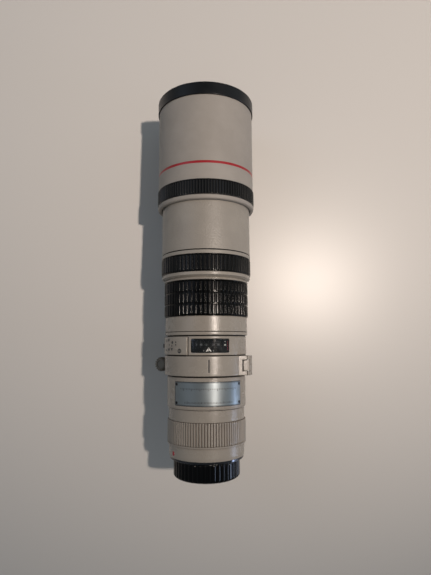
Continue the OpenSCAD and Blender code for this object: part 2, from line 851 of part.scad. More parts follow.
// Cell that carries the focusing doublet, with a web between its outer and inner rings
module focus_cell() color(inner_black) lens_frame() {
    z0 = roller_z - cell_len / 2;
    z1 = roller_z + cell_len / 2;
    mid = doublet_t / 2;
    difference() {
        turned([[cell_r - cell_t, z0], [cell_r, z0], [cell_r, z1], [cell_r - cell_t, z1],
            [cell_r - cell_t, roller_z + mid / 2], [doublet_r + cell_t, roller_z + mid / 2],
            [doublet_r + cell_t, roller_z + mid], [doublet_r, roller_z + mid],
            [doublet_r, roller_z - mid], [doublet_r + cell_t, roller_z - mid],
            [doublet_r + cell_t, roller_z - mid / 2], [cell_r - cell_t, roller_z - mid / 2]]);
        roller_places() cylinder(r = roller_r, h = cell_r);
    }
}

// Puts a child, pointing outwards, at each follower roller
module roller_places() {
    for (i = [0 : roller_count - 1])
        toward(i * 360 / roller_count + 60) translate([cell_r - cell_t, 0, roller_z])
            rotate([0, 90, 0]) children();
}

module cam_rollers() color(brass_gold) lens_frame()
    roller_places() cylinder(r = roller_r, h = roller_reach - cell_r + cell_t);

module focus_doublet() color(glass_blue, 0.4) lens_frame()
    translate([0, 0, roller_z + doublet_t / 2])
        element(doublet_r, doublet_t, doublet_front_curve, doublet_back_curve);

module iris_base() color(inner_black) lens_frame() {
    translate([0, 0, iris_z]) linear_extrude(iris_plate_t) difference() {
        circle(inner_bore_r);
        circle(iris_bore_r);
        for (i = [0 : blades - 1])
            rotate(i * 360 / blades) translate([blade_pivot_r, 0]) {
                circle(blade_pin_r + pin_fit);
                path_slot(pin_window_path, blade_pin_r + free_gap);
            }
    }
    ring(iris_ring_r + run_fit, iris_ring_r + iris_rim_t, iris_z - iris_plate_t - iris_ring_gap, iris_z);
}

// A vector turned back by angle a
function turned_back(v, a) = [v[0] * cos(a) + v[1] * sin(a), v[1] * cos(a) - v[0] * sin(a)];

// Slot along a path: two edges at equal distance from it, and round ends
module path_slot(path, half_w) {
    last = len(path) - 1;
    steps = 8;
    side = [for (i = [0 : last])
        let (d = path[min(i + 1, last)] - path[max(i - 1, 0)])
        [-d[1], d[0]] / norm(d) * half_w];
    polygon(concat([for (i = [0 : last]) path[i] + side[i]],
        [for (i = [1 : steps - 1]) path[last] + turned_back(side[last], i * 180 / steps)],
        [for (i = [last : -1 : 0]) path[i] - side[i]],
        [for (i = [1 : steps - 1]) path[0] - turned_back(side[0], i * 180 / steps)]));
}

module iris_ring() color(steel_grey) lens_frame()
    translate([0, 0, iris_z - iris_ring_gap - iris_plate_t])
        linear_extrude(iris_plate_t) difference() {
            circle(iris_ring_r);
            circle(iris_bore_r);
            for (i = [0 : blades - 1])
                rotate(i * 360 / blades) path_slot(drive_path, blade_pin_r + pin_fit);
        }

// Crescent blade, tilted so that its tail lies over the next blades and its head under them
module iris_blade(i) lens_frame() rotate([0, 0, i * 360 / blades])
    translate([blade_pivot_r, 0, iris_z + iris_plate_t + blade_lift]) {
        lean = (blade_span - blade_over) / 2;
        rotate(a = blade_tilt, v = [cos(lean), sin(lean), 0]) translate([-blade_pivot_r, 0, 0])
            rotate_extrude(angle = blade_span + blade_over, start = -blade_over)
                translate([iris_open_r, 0]) square([blade_w, blade_t]);
        blade_pin(0, 0);
        blade_pin(cam_pin_arm * cos(cam_pin_dir), cam_pin_arm * sin(cam_pin_dir));
    }

// Pin under a blade; the pivot pin ends in the base plate and the cam pin in the drive ring
module blade_pin(x, y) {
    on_cam = x != 0 || y != 0;
    lean = (blade_span - blade_over) / 2;
    top = (y * cos(lean) - x * sin(lean)) * tan(blade_tilt);
    down = blade_lift + iris_plate_t - pin_fit + (on_cam ? iris_ring_gap + iris_plate_t : 0);
    translate([x, y, -down]) cylinder(r = blade_pin_r, h = down + top + blade_t / 2);
}

module iris_blade_1() color(satin_black) iris_blade(0);

module iris_blade_2() color(satin_black) iris_blade(1);

module iris_blade_3() color(satin_black) iris_blade(2);

module iris_blade_4() color(satin_black) iris_blade(3);

module iris_blade_5() color(satin_black) iris_blade(4);

module iris_blade_6() color(satin_black) iris_blade(5);

module iris_blade_7() color(satin_black) iris_blade(6);

module iris_blade_8() color(satin_black) iris_blade(7);

module rear_cell() color(inner_black) lens_frame() {
    z0 = rear_cell_z;
    z1 = rear_cell_z + rear_cell_len;
    outer = sixth_r + rear_cell_wall;
    turned([[rear_el_r - rear_cell_wall, z0], [outer, z0], [outer, z1 - 3 * rear_cell_wall],
        [inner_bore_r, z1 - 3 * rear_cell_wall], [inner_bore_r, z1 - 2 * rear_cell_wall],
        [outer, z1 - 2 * rear_cell_wall], [outer, z1], [sixth_r, z1],
        [sixth_r, z1 - rear_cell_wall - sixth_t], [rear_el_r, z1 - rear_cell_wall - sixth_t],
        [rear_el_r, z0 + rear_cell_wall], [rear_el_r - rear_cell_wall, z0 + rear_cell_wall]]);
}

module sixth_element() color(glass_blue, 0.4) lens_frame()
    translate([0, 0, rear_cell_z + rear_cell_len - rear_cell_wall])
        element(sixth_r, sixth_t, sixth_curve, 2 * sixth_curve);

module rear_element() color(glass_blue, 0.4) lens_frame()
    translate([0, 0, rear_cell_z + rear_cell_wall + rear_el_t])
        element(rear_el_r, rear_el_t, rear_el_curve, 2 * rear_el_curve);

module step_band() color(paint) lens_frame() {
    bead = step_bead_share * step_band_len;
    waist = focus_r - bead / 2;
    wide = front_r - bead_groove / 2;
    turned([[sleeve_r, z_step], [focus_r, z_step], [focus_r + edge / 2, z_step + edge],
        [focus_r + edge / 2, z_step + bead], [waist, z_step + 1.15 * bead],
        [waist, z_step + 1.6 * bead], [waist + edge, z_step + 2.2 * bead],
        [wide - edge, z_step + 2.9 * bead], [wide, z_step + 3.1 * bead],
        [wide, z_hold - edge], [wide - edge, z_hold], [sleeve_r, z_hold]]);
}

module hold_ring() color(grip_black) lens_frame() difference() {
    end_r = hold_r - 0.2 * hold_rib_h;
    union() {
        bar(hold_r - 1.2 * hold_rib_h, z_hold, z_front_band);
        bar(end_r, z_hold, z_hold + 2.5 * edge);
        bar(end_r, z_front_band - 2.5 * edge, z_front_band);
        ribbed_bar(hold_r, hold_rib_h, hold_ribs, z_hold + 2.5 * edge, z_front_band - 2.5 * edge);
    }
    bar(hold_seat_r, z_hold - overrun, z_front_band + overrun);
}

module front_barrel() color(paint) lens_frame() turned([
    [inner_tube_r, z_hold], [hold_seat_r, z_hold], [hold_seat_r, z_front_band],
    [front_r + front_band_rise, z_front_band],
    [front_r + front_band_rise, z_front - front_groove],
    [front_r - front_groove_d, z_front - front_groove], [front_r - front_groove_d, z_front],
    [front_r, z_front], [front_r, z_front_end - filter_ring_len],
    [front_bore_r + wall / 2, z_front_end - filter_ring_len],
    [front_bore_r + wall / 2, z_front_end - filter_ring_len - filter_tongue_len],
    [front_bore_r, z_front_end - filter_ring_len - filter_tongue_len],
    [front_bore_r, z_hold + front_plate_t], [inner_tube_r, z_hold + front_plate_t]]);

module filter_ring() color(satin_black) lens_frame() {
    z0 = z_front_end - filter_ring_len;
    turned([[front_el_r, z0 - filter_tongue_len], [front_bore_r + wall / 2, z0 - filter_tongue_len],
        [front_bore_r + wall / 2, z0], [front_r, z0], [front_r, z_front_end - edge],
        [front_r - edge, z_front_end], [filter_r, z_front_end],
        [filter_r, z_front_end - filter_len], [front_el_r, z_front_end - filter_len]]);
}

module front_retainer() color(satin_black) lens_frame() {
    in_r = front_el_r - retainer_w;
    z0 = front_el_z - sag(front_el_curve, in_r);
    ring(in_r, front_el_r, z0, z0 + retainer_t);
}

// Cell of the three front elements, stepped so that each rests on its own shoulder
module front_cell() color(inner_black) lens_frame() {
    z_top = z_front_end - filter_ring_len - filter_tongue_len;
    z_first = front_el_z - front_el_t;
    z_second = second_z - second_t;
    z_third = third_z - third_t;
    turned([[front_bore_r, front_cell_back], [front_bore_r, z_top], [front_el_r, z_top],
        [front_el_r, z_first + sag(front_el_back_curve, front_el_r)],
        [front_el_r - cell_lip, z_first + sag(front_el_back_curve, front_el_r - cell_lip)],
        [second_r, second_z], [second_r, z_second + sag(second_back_curve, second_r)],
        [second_r - cell_lip, z_second + sag(second_back_curve, second_r - cell_lip)],
        [third_r, third_z + sag(third_curve, third_r)],
        [third_r, z_third - sag(third_back_curve, third_r)],
        [third_r - cell_lip, z_third - sag(third_back_curve, third_r)],
        [third_r - cell_lip, front_cell_back]]);
}

module front_element() color(glass_blue, 0.4) lens_frame() translate([0, 0, front_el_z])
    element(front_el_r, front_el_t, front_el_curve, front_el_back_curve);

module second_element() color(glass_blue, 0.4) lens_frame() translate([0, 0, second_z])
    element(second_r, second_t, second_curve, second_back_curve);

// Element with two hollow faces that spreads the light again
module third_element() color(glass_blue, 0.4) lens_frame() translate([0, 0, third_z])
    element(third_r, third_t, -third_curve, -third_back_curve);

// Section of the collar's rim, with eased edges
module collar_section() {
    z1 = z_collar + collar_w;
    polygon([[collar_bore_r, z_collar], [collar_r - edge, z_collar], [collar_r, z_collar + edge],
        [collar_r, z1 - edge], [collar_r - edge, z1], [collar_bore_r, z1]]);
}

// Room of the pin, ears and tongue, cut or filled by the two halves: a knuckle and its root
module knuckle(r, z0, z1, side) {
    toward(hinge_at) translate([0, 0, z0]) linear_extrude(z1 - z0) {
        translate([hinge_r, 0]) circle(r);
        intersection() {
            difference() {
                circle(hinge_r + r * 0.55);
                circle(collar_r - wall);
            }
            polygon([[0, 0], [2 * hinge_r, 0],
                [2 * hinge_r * cos(side * flute_turn / 2), 2 * hinge_r * sin(side * flute_turn / 2)]]);
        }
    }
}

// Tangential lug that the clamp screw passes through, on one side of the split.
// Its outline leaves the collar straight, turns round the screw and is cut flat at the far end.
module clamp_lug(side, height) {
    gap = clamp_gap / 2;
    steps = 8;
    turn = 90 - acos(2 * lug_out / lug_w);
    root = collar_r - wall / 2;
    toward(hinge_at + 180) translate([0, side > 0 ? gap : -gap - height, z_collar_mid])
        rotate([-90, 0, 0]) linear_extrude(height) polygon(concat(
            [[root, lug_w / 2], [root, -lug_w / 2]],
            [for (i = [0 : steps])
                let (a = i * turn / steps - 90)
                [clamp_r + lug_w / 2 * cos(a), lug_w / 2 * sin(a)]],
            [for (i = [0 : steps])
                let (a = 90 - turn + i * turn / steps)
                [clamp_r + lug_w / 2 * cos(a), lug_w / 2 * sin(a)]]));
}

// Bore along the clamp screw
module clamp_bore(r, from, to) {
    toward(hinge_at + 180) translate([clamp_r, from, z_collar_mid]) rotate([-90, 0, 0])
        cylinder(r = r, h = to - from);
}

module collar_upper() color(paint) lens_frame() difference() {
    z1 = z_collar + collar_w;
    union() {
        rotate_extrude(angle = 180 - hinge_split - clamp_split,
            start = hinge_at - 180 + clamp_split - 90) collar_section();
        knuckle(knuckle_r, z_collar, z_collar + ear_w, -1);
        knuckle(knuckle_r, z1 - ear_w, z1, -1);
        toward(hinge_at) translate([0, 0, z_collar + ear_w]) root_fill(-1);
        clamp_lug(1, lug_up);
    }
    toward(hinge_at) translate([hinge_r, 0, z_collar - overrun])
        cylinder(r = hinge_pin_d / 2 + run_fit, h = collar_w + 2 * overrun);
    toward(hinge_at) translate([hinge_r, 0, z_collar + ear_w])
        cylinder(r = knuckle_r + free_gap, h = collar_w - 2 * ear_w);
    clamp_bore(screw_r + pin_fit, -overrun, lug_up + clamp_gap + overrun);
    toward(0) translate([collar_r - mark_d, -mark_w / 2, z_collar_mid - mark_len / 2])
        cube([2 * mark_d, mark_w, mark_len]);
}

// Root of the flute between the ears, drawn back from the tongue's round end
module root_fill(side) {
    linear_extrude(collar_w - 2 * ear_w) intersection() {
        difference() {
            circle(hinge_r + knuckle_r * 0.55);
            circle(collar_r - wall);
        }
        polygon([[0, 0], [2 * hinge_r, side * (knuckle_r + free_gap)],
            [2 * hinge_r * cos(side * flute_turn / 2), 2 * hinge_r * sin(side * flute_turn / 2)]]);
    }
}

module collar_lower() color(paint) lens_frame() difference() {
    z1 = z_collar + collar_w;
    tongue0 = z_collar + ear_w + free_gap;
    tongue1 = z1 - ear_w - free_gap;
    union() {
        difference() {
            union() {
                rotate_extrude(angle = 180 - hinge_split - clamp_split,
                    start = hinge_at + hinge_split - 90) collar_section();
                knuckle(knuckle_r, z_collar, z1, 1);
            }
            for (z = [z_collar - overrun, tongue1])
                toward(hinge_at) translate([hinge_r, 0, z])
                    cylinder(r = knuckle_r + free_gap, h = ear_w + free_gap + overrun);
        }
        knuckle(knuckle_r, tongue0, tongue1, 1);
        clamp_lug(-1, lug_down);
        foot();
    }
    toward(hinge_at) translate([hinge_r, 0, z_collar - overrun])
        cylinder(r = hinge_pin_d / 2, h = collar_w + 2 * overrun);
    clamp_bore(screw_r + screw_free, -lug_down - clamp_gap - overrun, overrun);
    translate([0, foot_drop - socket_depth, z_collar_mid]) rotate([-90, 0, 0])
        cylinder(r = socket_r, h = socket_depth + overrun);
}

// Neck and pad under the lower half; the neck flares into both with quarter rounds
module foot() {
    pad_top = foot_drop - pad_t;
    root_y = sqrt(collar_r * collar_r - neck_w * neck_w / 4) - wall / 2;
    rounds = 8;
    translate([0, 0, z_collar_mid - neck_len / 2]) linear_extrude(neck_len) polygon(concat(
        [[-neck_w / 2, root_y]],
        [for (i = [0 : rounds])
            let (a = i * 90 / rounds)
            [-neck_w / 2 - neck_flare * (1 - cos(a)), pad_top - neck_flare * (1 - sin(a))]],
        [for (i = [rounds : -1 : 0])
            let (a = i * 90 / rounds)
            [neck_w / 2 + neck_flare * (1 - cos(a)), pad_top - neck_flare * (1 - sin(a))]],
        [[neck_w / 2, root_y]]));
    translate([0, foot_drop, z_collar_mid]) rotate([90, 0, 0]) {
        linear_extrude(pad_t - edge) rounded_window(foot_w - 2 * edge, foot_len - 2 * edge, pad_corner);
        translate([0, 0, edge]) linear_extrude(pad_t - edge)
            rounded_window(foot_w, foot_len, pad_corner);
    }
}

module hinge_pin() color(steel_grey) lens_frame() toward(hinge_at)
    translate([hinge_r, 0, z_collar + edge]) cylinder(r = hinge_pin_d / 2, h = collar_w - 2 * edge);

module tripod_socket() color(steel_grey) lens_frame()
    translate([0, foot_drop, z_collar_mid]) rotate([90, 0, 0]) difference() {
        cylinder(r = socket_r, h = socket_depth);
        translate([0, 0, -overrun]) cylinder(r = tripod_thread_r, h = thread_depth + overrun);
    }

module clamp_screw() color(steel_grey) lens_frame()
    clamp_bore(screw_r, -screw_reach, lug_up + clamp_gap / 2 + knob_neck + knob_h / 2);

module clamp_knob() color("#8f887c") lens_frame() toward(hinge_at + 180)
    translate([clamp_r, clamp_gap / 2 + lug_up, z_collar_mid]) rotate([-90, 0, 0]) difference() {
        union() {
            translate([0, 0, free_gap]) cylinder(r = 0.62 * knob_d / 2, h = knob_neck + overrun);
            ribbed_ring(0, knob_d / 2, knob_rib_h, knob_ribs, knob_neck, knob_neck + knob_h - edge,
                0.55, 0.8);
            translate([0, 0, knob_neck]) cylinder(r = knob_d / 2 - 2 * knob_rib_h, h = knob_h);
        }
        translate([0, 0, -overrun]) cylinder(r = screw_r, h = overrun + knob_neck + knob_h / 2);
    }

module hood_guide() color(satin_black) lens_frame() {
    z0 = z_hood + lip_wall + free_gap;
    turned([[hood_bore_r, z0], [guide_r, z0], [guide_r, z0 + guide_len / 4],
        [guide_r - edge, z0 + guide_len / 4], [guide_r - edge, z0 + 0.75 * guide_len],
        [guide_r, z0 + 0.75 * guide_len], [guide_r, z0 + guide_len],
        [hood_bore_r, z0 + guide_len]]);
}

module hood_tube() color(paint) lens_frame() {
    lip_r = hood_r + lip_rise;
    line_z = z_hood_ring + hood_ring_len + line_at;
    bore = hood_r - hood_wall;
    lining_z = z_hood + lip_wall + guide_len + 2 * free_gap;
    rounds = 6;
    turned(concat(
        [[hood_bore_r, z_hood + edge], [hood_bore_r + edge, z_hood]],
        [for (i = [0 : rounds])
            let (a = i * 90 / rounds)
            [lip_r - lip_len / 2 * (1 - sin(a)), z_hood + lip_len / 2 * (1 - cos(a))]],
        [[lip_r, z_hood_ring], [hood_r, z_hood_ring], [hood_r, line_z],
            [hood_r - line_d, line_z], [hood_r - line_d, line_z + line_w], [hood_r, line_z + line_w],
            [hood_r, z_hood_front - rim_over], [bore - lining_t, z_hood_front - rim_over],
            [bore - lining_t, lining_z], [bore, lining_z], [bore, z_hood + lip_wall],
            [hood_bore_r, z_hood + lip_wall]]));
}

module hood_ring() color(grip_black) lens_frame() difference() {
    top = hood_r + hood_ring_h;
    end_r = top - 0.2 * hood_rib_h;
    z1 = z_hood_ring + hood_ring_len;
    union() {
        bar(top - 1.2 * hood_rib_h, z_hood_ring, z1);
        bar(end_r, z_hood_ring, z_hood_ring + 2 * edge);
        bar(end_r, z1 - 2 * edge, z1);
        ribbed_bar(top, hood_rib_h, hood_ribs, z_hood_ring + 2 * edge, z1 - 2 * edge);
    }
    bar(hood_r, z_hood_ring - overrun, z1 + overrun);
}

module hood_rim() color(satin_black) lens_frame() {
    z0 = z_hood_front - rim_len;
    bore = hood_r - hood_wall - lining_t;
    rounds = 6;
    turned(concat(
        [[hood_r, z0], [rim_r - edge, z0], [rim_r, z0 + edge]],
        [for (i = [0 : rounds])
            let (a = i * 90 / rounds)
            [rim_r - rim_round * (1 - cos(a)), z_hood_front - rim_round * (1 - sin(a))]],
        [for (i = [0 : rounds])
            let (a = i * 90 / rounds)
            [bore + rim_round * (1 - sin(a)), z_hood_front - rim_round * (1 - cos(a))]],
        [[bore, z_hood_front - rim_over], [hood_r, z_hood_front - rim_over]]));
}

module rear_cap() color(satin_black) lens_frame() {
    top = -cap_gap;
    low = -cap_gap - cap_len;
    difference() {
        union() {
            turned([[0, low], [cap_r - cap_lip, low], [cap_r - cap_rib_h, low + cap_lip],
                [cap_r - cap_rib_h, top], [cap_bore_r, top], [cap_bore_r, low + cap_floor],
                [0, low + cap_floor]]);
            ribbed_ring(cap_r - 2 * cap_rib_h, cap_r, cap_rib_h, cap_ribs, low + cap_lip, top - edge,
                0.5, 0.8);
            for (i = [0 : tab_count - 1])
                sector(tube_r + free_gap, cap_bore_r + cap_wall / 4,
                    top - cap_lug_at - cap_lug_t, top - cap_lug_at,
                    tab_at + (i + 0.5) * 360 / tab_count - cap_lug_turn / 2,
                    tab_at + (i + 0.5) * 360 / tab_count + cap_lug_turn / 2);
        }
        translate([0, 0, low - overrun]) linear_extrude(overrun + cap_floor / 4) difference() {
            circle(cap_r - 2 * cap_lip);
            circle(cap_r - 2.4 * cap_lip);
        }
    }
}

mount_ring();
mount_screws();
contact_block();
contact_pins();
rear_baffle();
mount_dot();
rear_barrel();
main_barrel();
nameplate();
nameplate_rivets();
window_barrel();
window_glass();
switch_panel();
middle_barrel();
inner_tube();
step_band();
hold_ring();
front_barrel();
filter_ring();
front_retainer();
front_cell();
front_element();
second_element();
third_element();
rear_cell();
sixth_element();
rear_element();
motor_stator();
circuit_board();
iris_base();
focus_mode_switch();
range_switch();
focus_ring();
focus_rubber();
motor_rotor();
cam_tube();
scale_drum();
focus_cell();
focus_doublet();
cam_rollers();
iris_ring();
iris_blade_1();
iris_blade_2();
iris_blade_3();
iris_blade_4();
iris_blade_5();
iris_blade_6();
iris_blade_7();
iris_blade_8();
collar_upper();
collar_lower();
hinge_pin();
tripod_socket();
clamp_knob();
clamp_screw();
hood_guide();
hood_tube();
hood_ring();
hood_rim();
rear_cap();
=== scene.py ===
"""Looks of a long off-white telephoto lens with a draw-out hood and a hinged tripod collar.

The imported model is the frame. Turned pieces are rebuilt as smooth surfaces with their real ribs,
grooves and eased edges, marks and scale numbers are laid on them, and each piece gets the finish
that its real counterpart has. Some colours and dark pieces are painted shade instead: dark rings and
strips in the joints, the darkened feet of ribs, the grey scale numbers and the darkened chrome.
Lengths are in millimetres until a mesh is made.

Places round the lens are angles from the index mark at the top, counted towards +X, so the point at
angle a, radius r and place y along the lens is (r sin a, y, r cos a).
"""

from __future__ import annotations

import json
import logging
from dataclasses import dataclass
from enum import Enum
from typing import Any, Sequence

import bmesh
import bpy
import numpy as np
from mathutils import Matrix, Vector

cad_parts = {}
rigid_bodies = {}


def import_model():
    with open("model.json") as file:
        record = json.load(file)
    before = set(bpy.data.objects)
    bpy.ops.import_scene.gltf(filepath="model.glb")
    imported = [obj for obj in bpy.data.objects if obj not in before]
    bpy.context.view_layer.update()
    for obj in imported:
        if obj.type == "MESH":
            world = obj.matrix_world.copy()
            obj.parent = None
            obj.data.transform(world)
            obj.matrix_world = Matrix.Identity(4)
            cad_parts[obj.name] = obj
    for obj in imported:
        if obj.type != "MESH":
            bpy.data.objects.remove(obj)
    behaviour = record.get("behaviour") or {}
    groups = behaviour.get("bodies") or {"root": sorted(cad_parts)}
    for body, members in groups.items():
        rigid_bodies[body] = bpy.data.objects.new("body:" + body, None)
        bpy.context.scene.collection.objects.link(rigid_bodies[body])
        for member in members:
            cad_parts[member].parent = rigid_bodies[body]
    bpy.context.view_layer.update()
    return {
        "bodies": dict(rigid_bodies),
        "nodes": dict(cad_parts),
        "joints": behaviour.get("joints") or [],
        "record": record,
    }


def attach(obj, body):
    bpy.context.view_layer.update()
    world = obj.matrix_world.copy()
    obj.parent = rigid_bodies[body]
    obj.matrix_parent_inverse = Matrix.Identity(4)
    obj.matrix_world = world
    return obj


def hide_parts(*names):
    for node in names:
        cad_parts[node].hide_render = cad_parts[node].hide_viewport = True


LOG = logging.getLogger("lens")
MM = 0.001
SMEAR_MM = 9.0


# Colour and nodes


def linear(code: str) -> tuple[float, float, float, float]:
    """Turn an sRGB hex colour into linear red, green, blue and a full alpha.

    Args:
        code: Colour such as "#b7b2a6".

    Returns:
        Linear colour: c / 12.92 below 0.04045, ((c + 0.055) / 1.055) ** 2.4 above it.
    """
    c = np.array([int(code[i : i + 2], 16) for i in (1, 3, 5)]) / 255.0
    c = np.where(c <= 0.04045, c / 12.92, ((c + 0.055) / 1.055) ** 2.4)
    return (float(c[0]), float(c[1]), float(c[2]), 1.0)


def add_node(
    tree: bpy.types.NodeTree,
    kind: str,
    inputs: dict[str | int, Any] | None = None,
    **settings: Any,
) -> bpy.types.Node:
    """Add a node with its settings, and set or link its inputs.

    Args:
        tree: Node tree that gets the node.
        kind: Node type without its leading "ShaderNode".
        inputs: Socket name or number to a value, or to an output socket that is linked.
        settings: Attributes of the node.

    Returns:
        The new node.
    """
    made = tree.nodes.new("ShaderNode" + kind)
    for key, value in settings.items():
        setattr(made, key, value)
    for key, value in (inputs or {}).items():
        if isinstance(value, bpy.types.NodeSocket):
            tree.links.new(value, made.inputs[key])
        else:
            made.inputs[key].default_value = value
    return made


class Texture(Enum):
    """Fine relief that the way of making leaves on a surface."""

    POLISHED = "polished"
    SPRAYED = "sprayed"
    MOULDED = "moulded"
    TURNED = "turned"
    BRUSHED = "brushed"
    FLOCKED = "flocked"


@dataclass(frozen=True)
class GrooveShade:
    """Painted shade at the foot of ribs, between two radii of a turned piece."""

    low: float
    high: float
    colour: str


@dataclass(frozen=True)
class Finish:
    """One real finish and what it gives the eye."""

    name: str
    slot: str
    colour: str
    drift: str
    drift_mm: float = 30.0
    roughness: float = 0.45
    spread: float = 0.06
    metallic: float = 0.0
    ior: float = 1.5
    coat: float = 0.0
    coat_roughness: float = 0.1
    sheen: float = 0.0
    transmission: float = 0.0
    texture: Texture = Texture.POLISHED
    grain_mm: float = 0.4
    depth_mm: float = 0.01
    # Painted shade: darkens the feet of ribs towards its colour.
    groove: GrooveShade | None = None

    def material(self) -> bpy.types.Material:
        """Make the finish's material, or find it if it is there already.

        Returns:
            Material with a principled shader.
        """
        found = bpy.data.materials.get(self.name)
        if found is not None and found.use_nodes and "finish" in found:
            return found
        made = bpy.data.materials.new(self.name)
        made["finish"] = True
        made.use_nodes = True
        made.diffuse_color = linear(self.colour)
        tree = made.node_tree
        tree.nodes.clear()
        where = add_node(tree, "TexCoord").outputs["Object"]
        shader = add_node(
            tree,
            "BsdfPrincipled",
            {
                "Base Color": self._colour(tree, where),
                "Roughness": self._roughness(tree, where),
                "Metallic": self.metallic,
                "Coat Weight": self.coat,
                "Coat Roughness": self.coat_roughness,
                "Sheen Weight": self.sheen,
                "Transmission Weight": self.transmission,
            },
        )
        if self.metallic < 1.0:
            shader.inputs["IOR"].default_value = self.ior
        if self.texture is not Texture.POLISHED:
            tree.links.new(self._relief(tree, where), shader.inputs["Normal"])
        add_node(tree, "OutputMaterial", {"Surface": shader.outputs["BSDF"]})
        return made

    def _colour(self, tree: bpy.types.NodeTree, where: bpy.types.NodeSocket) -> bpy.types.NodeSocket:
        """Drift slowly between the two colours, and darken the feet of ribs with painted shade.

        Args:
            tree: Node tree of the material.
            where: Place on the piece, in metres.

        Returns:
            Colour socket.
        """
        cloud = add_node(
            tree,
            "TexNoise",
            {"Vector": where, "Scale": 1.0 / (self.drift_mm * MM), "Detail": 5.0, "Roughness": 0.6},
        )
        ramp = add_node(tree, "MapRange", {"Value": cloud.outputs["Fac"], "From Min": 0.35, "From Max": 0.68})
        mixed = add_node(
            tree,
            "Mix",
            {0: ramp.outputs["Result"], 6: linear(self.colour), 7: linear(self.drift)},
            data_type="RGBA",
        ).outputs[2]
        if self.groove is None:
            return mixed
        # Painted shade: the colour turns to the groove colour from the rib's top down to its foot.
        part = add_node(tree, "SeparateXYZ", {0: where})
        flat = add_node(tree, "CombineXYZ", {"X": part.outputs["X"], "Y": part.outputs["Z"]})
        radius = add_node(tree, "VectorMath", {0: flat.outputs[0]}, operation="LENGTH").outputs["Value"]
        depth = add_node(
            tree,
            "MapRange",
            {"Value": radius, "From Min": self.groove.high * MM, "From Max": self.groove.low * MM},
            interpolation_type="SMOOTHSTEP",
        )
        return add_node(
            tree,
            "Mix",
            {0: depth.outputs["Result"], 6: mixed, 7: linear(self.groove.colour)},
            data_type="RGBA",
        ).outputs[2]

    def _roughness(self, tree: bpy.types.NodeTree, where: bpy.types.NodeSocket) -> bpy.types.NodeSocket:
        """Vary the roughness a little, as handling does.

        Args:
            tree: Node tree of the material.
            where: Place on the piece, in metres.

        Returns:
            Roughness socket.
        """
        smear = add_node(tree, "TexNoise", {"Vector": where, "Scale": 1.0 / (SMEAR_MM * MM), "Detail": 4.0})
        return add_node(
            tree,
            "MapRange",
            {
                "Value": smear.outputs["Fac"],
                "From Min": 0.3,
                "From Max": 0.7,
                "To Min": max(self.roughness - self.spread, 0.02),
                "To Max": min(self.roughness + self.spread, 1.0),
            },
        ).outputs["Result"]

    def _relief(self, tree: bpy.types.NodeTree, where: bpy.types.NodeSocket) -> bpy.types.NodeSocket:
        """Lay the relief of the making over the surface.

        Args:
            tree: Node tree of the material.
            where: Place on the piece, in metres.

        Returns:
            Normal socket.
        """
        drawn_out = {Texture.TURNED: (0.02, 1.0, 0.02), Texture.BRUSHED: (1.0, 0.03, 1.0)}
        stretch = drawn_out.get(self.texture, (1.0, 1.0, 1.0))
        spread = add_node(tree, "Mapping", {"Vector": where, "Scale": stretch})
        detail = {Texture.SPRAYED: 1.0, Texture.FLOCKED: 6.0}.get(self.texture, 3.0)
        grain = add_node(
            tree,
            "TexNoise",
            {
                "Vector": spread.outputs[0],
                "Scale": 1.0 / (self.grain_mm * MM),
                "Detail": detail,
                "Roughness": 0.55,
            },
        )
        return add_node(
            tree,
            "Bump",
            {"Height": grain.outputs["Fac"], "Distance": self.depth_mm * MM, "Strength": 1.0},
        ).outputs["Normal"]


# Stoved enamel on aluminium: thin spray leaves a fine peel that breaks the highlight into specks.
# The real peel is about 0.3 mm wide. It is drawn coarser, and deeper, so that it shows.
ENAMEL = Finish(
    "stoved_enamel", "barrel_paint", "#918b82", "#898279", roughness=0.265, spread=0.03,
    texture=Texture.SPRAYED, grain_mm=0.8, depth_mm=0.085, ior=1.4,
)
# The front barrel's is duller, and its peel is drawn coarser still.
DULL_ENAMEL = Finish(
    "dull_enamel", "barrel_paint", "#8f8980", "#878179", roughness=0.44, spread=0.03,
    texture=Texture.SPRAYED, grain_mm=1.3, depth_mm=0.24, ior=1.5,
)
# The hood's enamel is matt, so the light spreads over it without a streak.
MATT_ENAMEL = Finish(
    "matt_enamel", "barrel_paint", "#948e87", "#8b857e", roughness=0.6, texture=Texture.SPRAYED,
    grain_mm=0.5, depth_mm=0.012, ior=1.5,
)
# The same enamel on the rear grip, with painted shade darkening the grooves between its ribs.
GRIP_ENAMEL = Finish(
    "grip_enamel", "barrel_paint", "#8d867d", "#847d74", roughness=0.34, texture=Texture.SPRAYED,
    grain_mm=0.5, depth_mm=0.012, groove=GrooveShade(33.6, 34.2, "#574c42"),
)
# Moulded rubber: smooth lands that catch the lamp, and grooves that stay black.
FOCUS_RUBBER = Finish(
    "moulded_rubber", "grip_rubber", "#030303", "#050505", roughness=0.18, spread=0.01, ior=1.23,
    texture=Texture.MOULDED, grain_mm=0.25, depth_mm=0.002, groove=GrooveShade(37.0, 37.8, "#050505"),
)
# The narrow and fine ribbed rubbers get painted shade: their grooves are darkened to near black.
HOLD_RUBBER = Finish(
    "moulded_rubber_narrow", "grip_rubber", "#0f0f0f", "#131313", roughness=0.21, spread=0.01, ior=1.27,
    texture=Texture.MOULDED, grain_mm=0.25, depth_mm=0.002, groove=GrooveShade(40.0, 40.6, "#020202"),
)
HOOD_RUBBER = Finish(
    "moulded_rubber_fine", "grip_rubber", "#1b1b1b", "#202020", roughness=0.26, spread=0.01, ior=1.3,
    texture=Texture.MOULDED, grain_mm=0.25, depth_mm=0.002, groove=GrooveShade(44.15, 44.6, "#020202"),
)
# ABS rim: satin from the mould, bluish where it catches the window.
RIM_ABS = Finish(
    "satin_abs", "rim_plastic", "#090a0d", "#0e0f12", roughness=0.36, ior=1.36, texture=Texture.MOULDED,
    grain_mm=0.5, depth_mm=0.012,
)
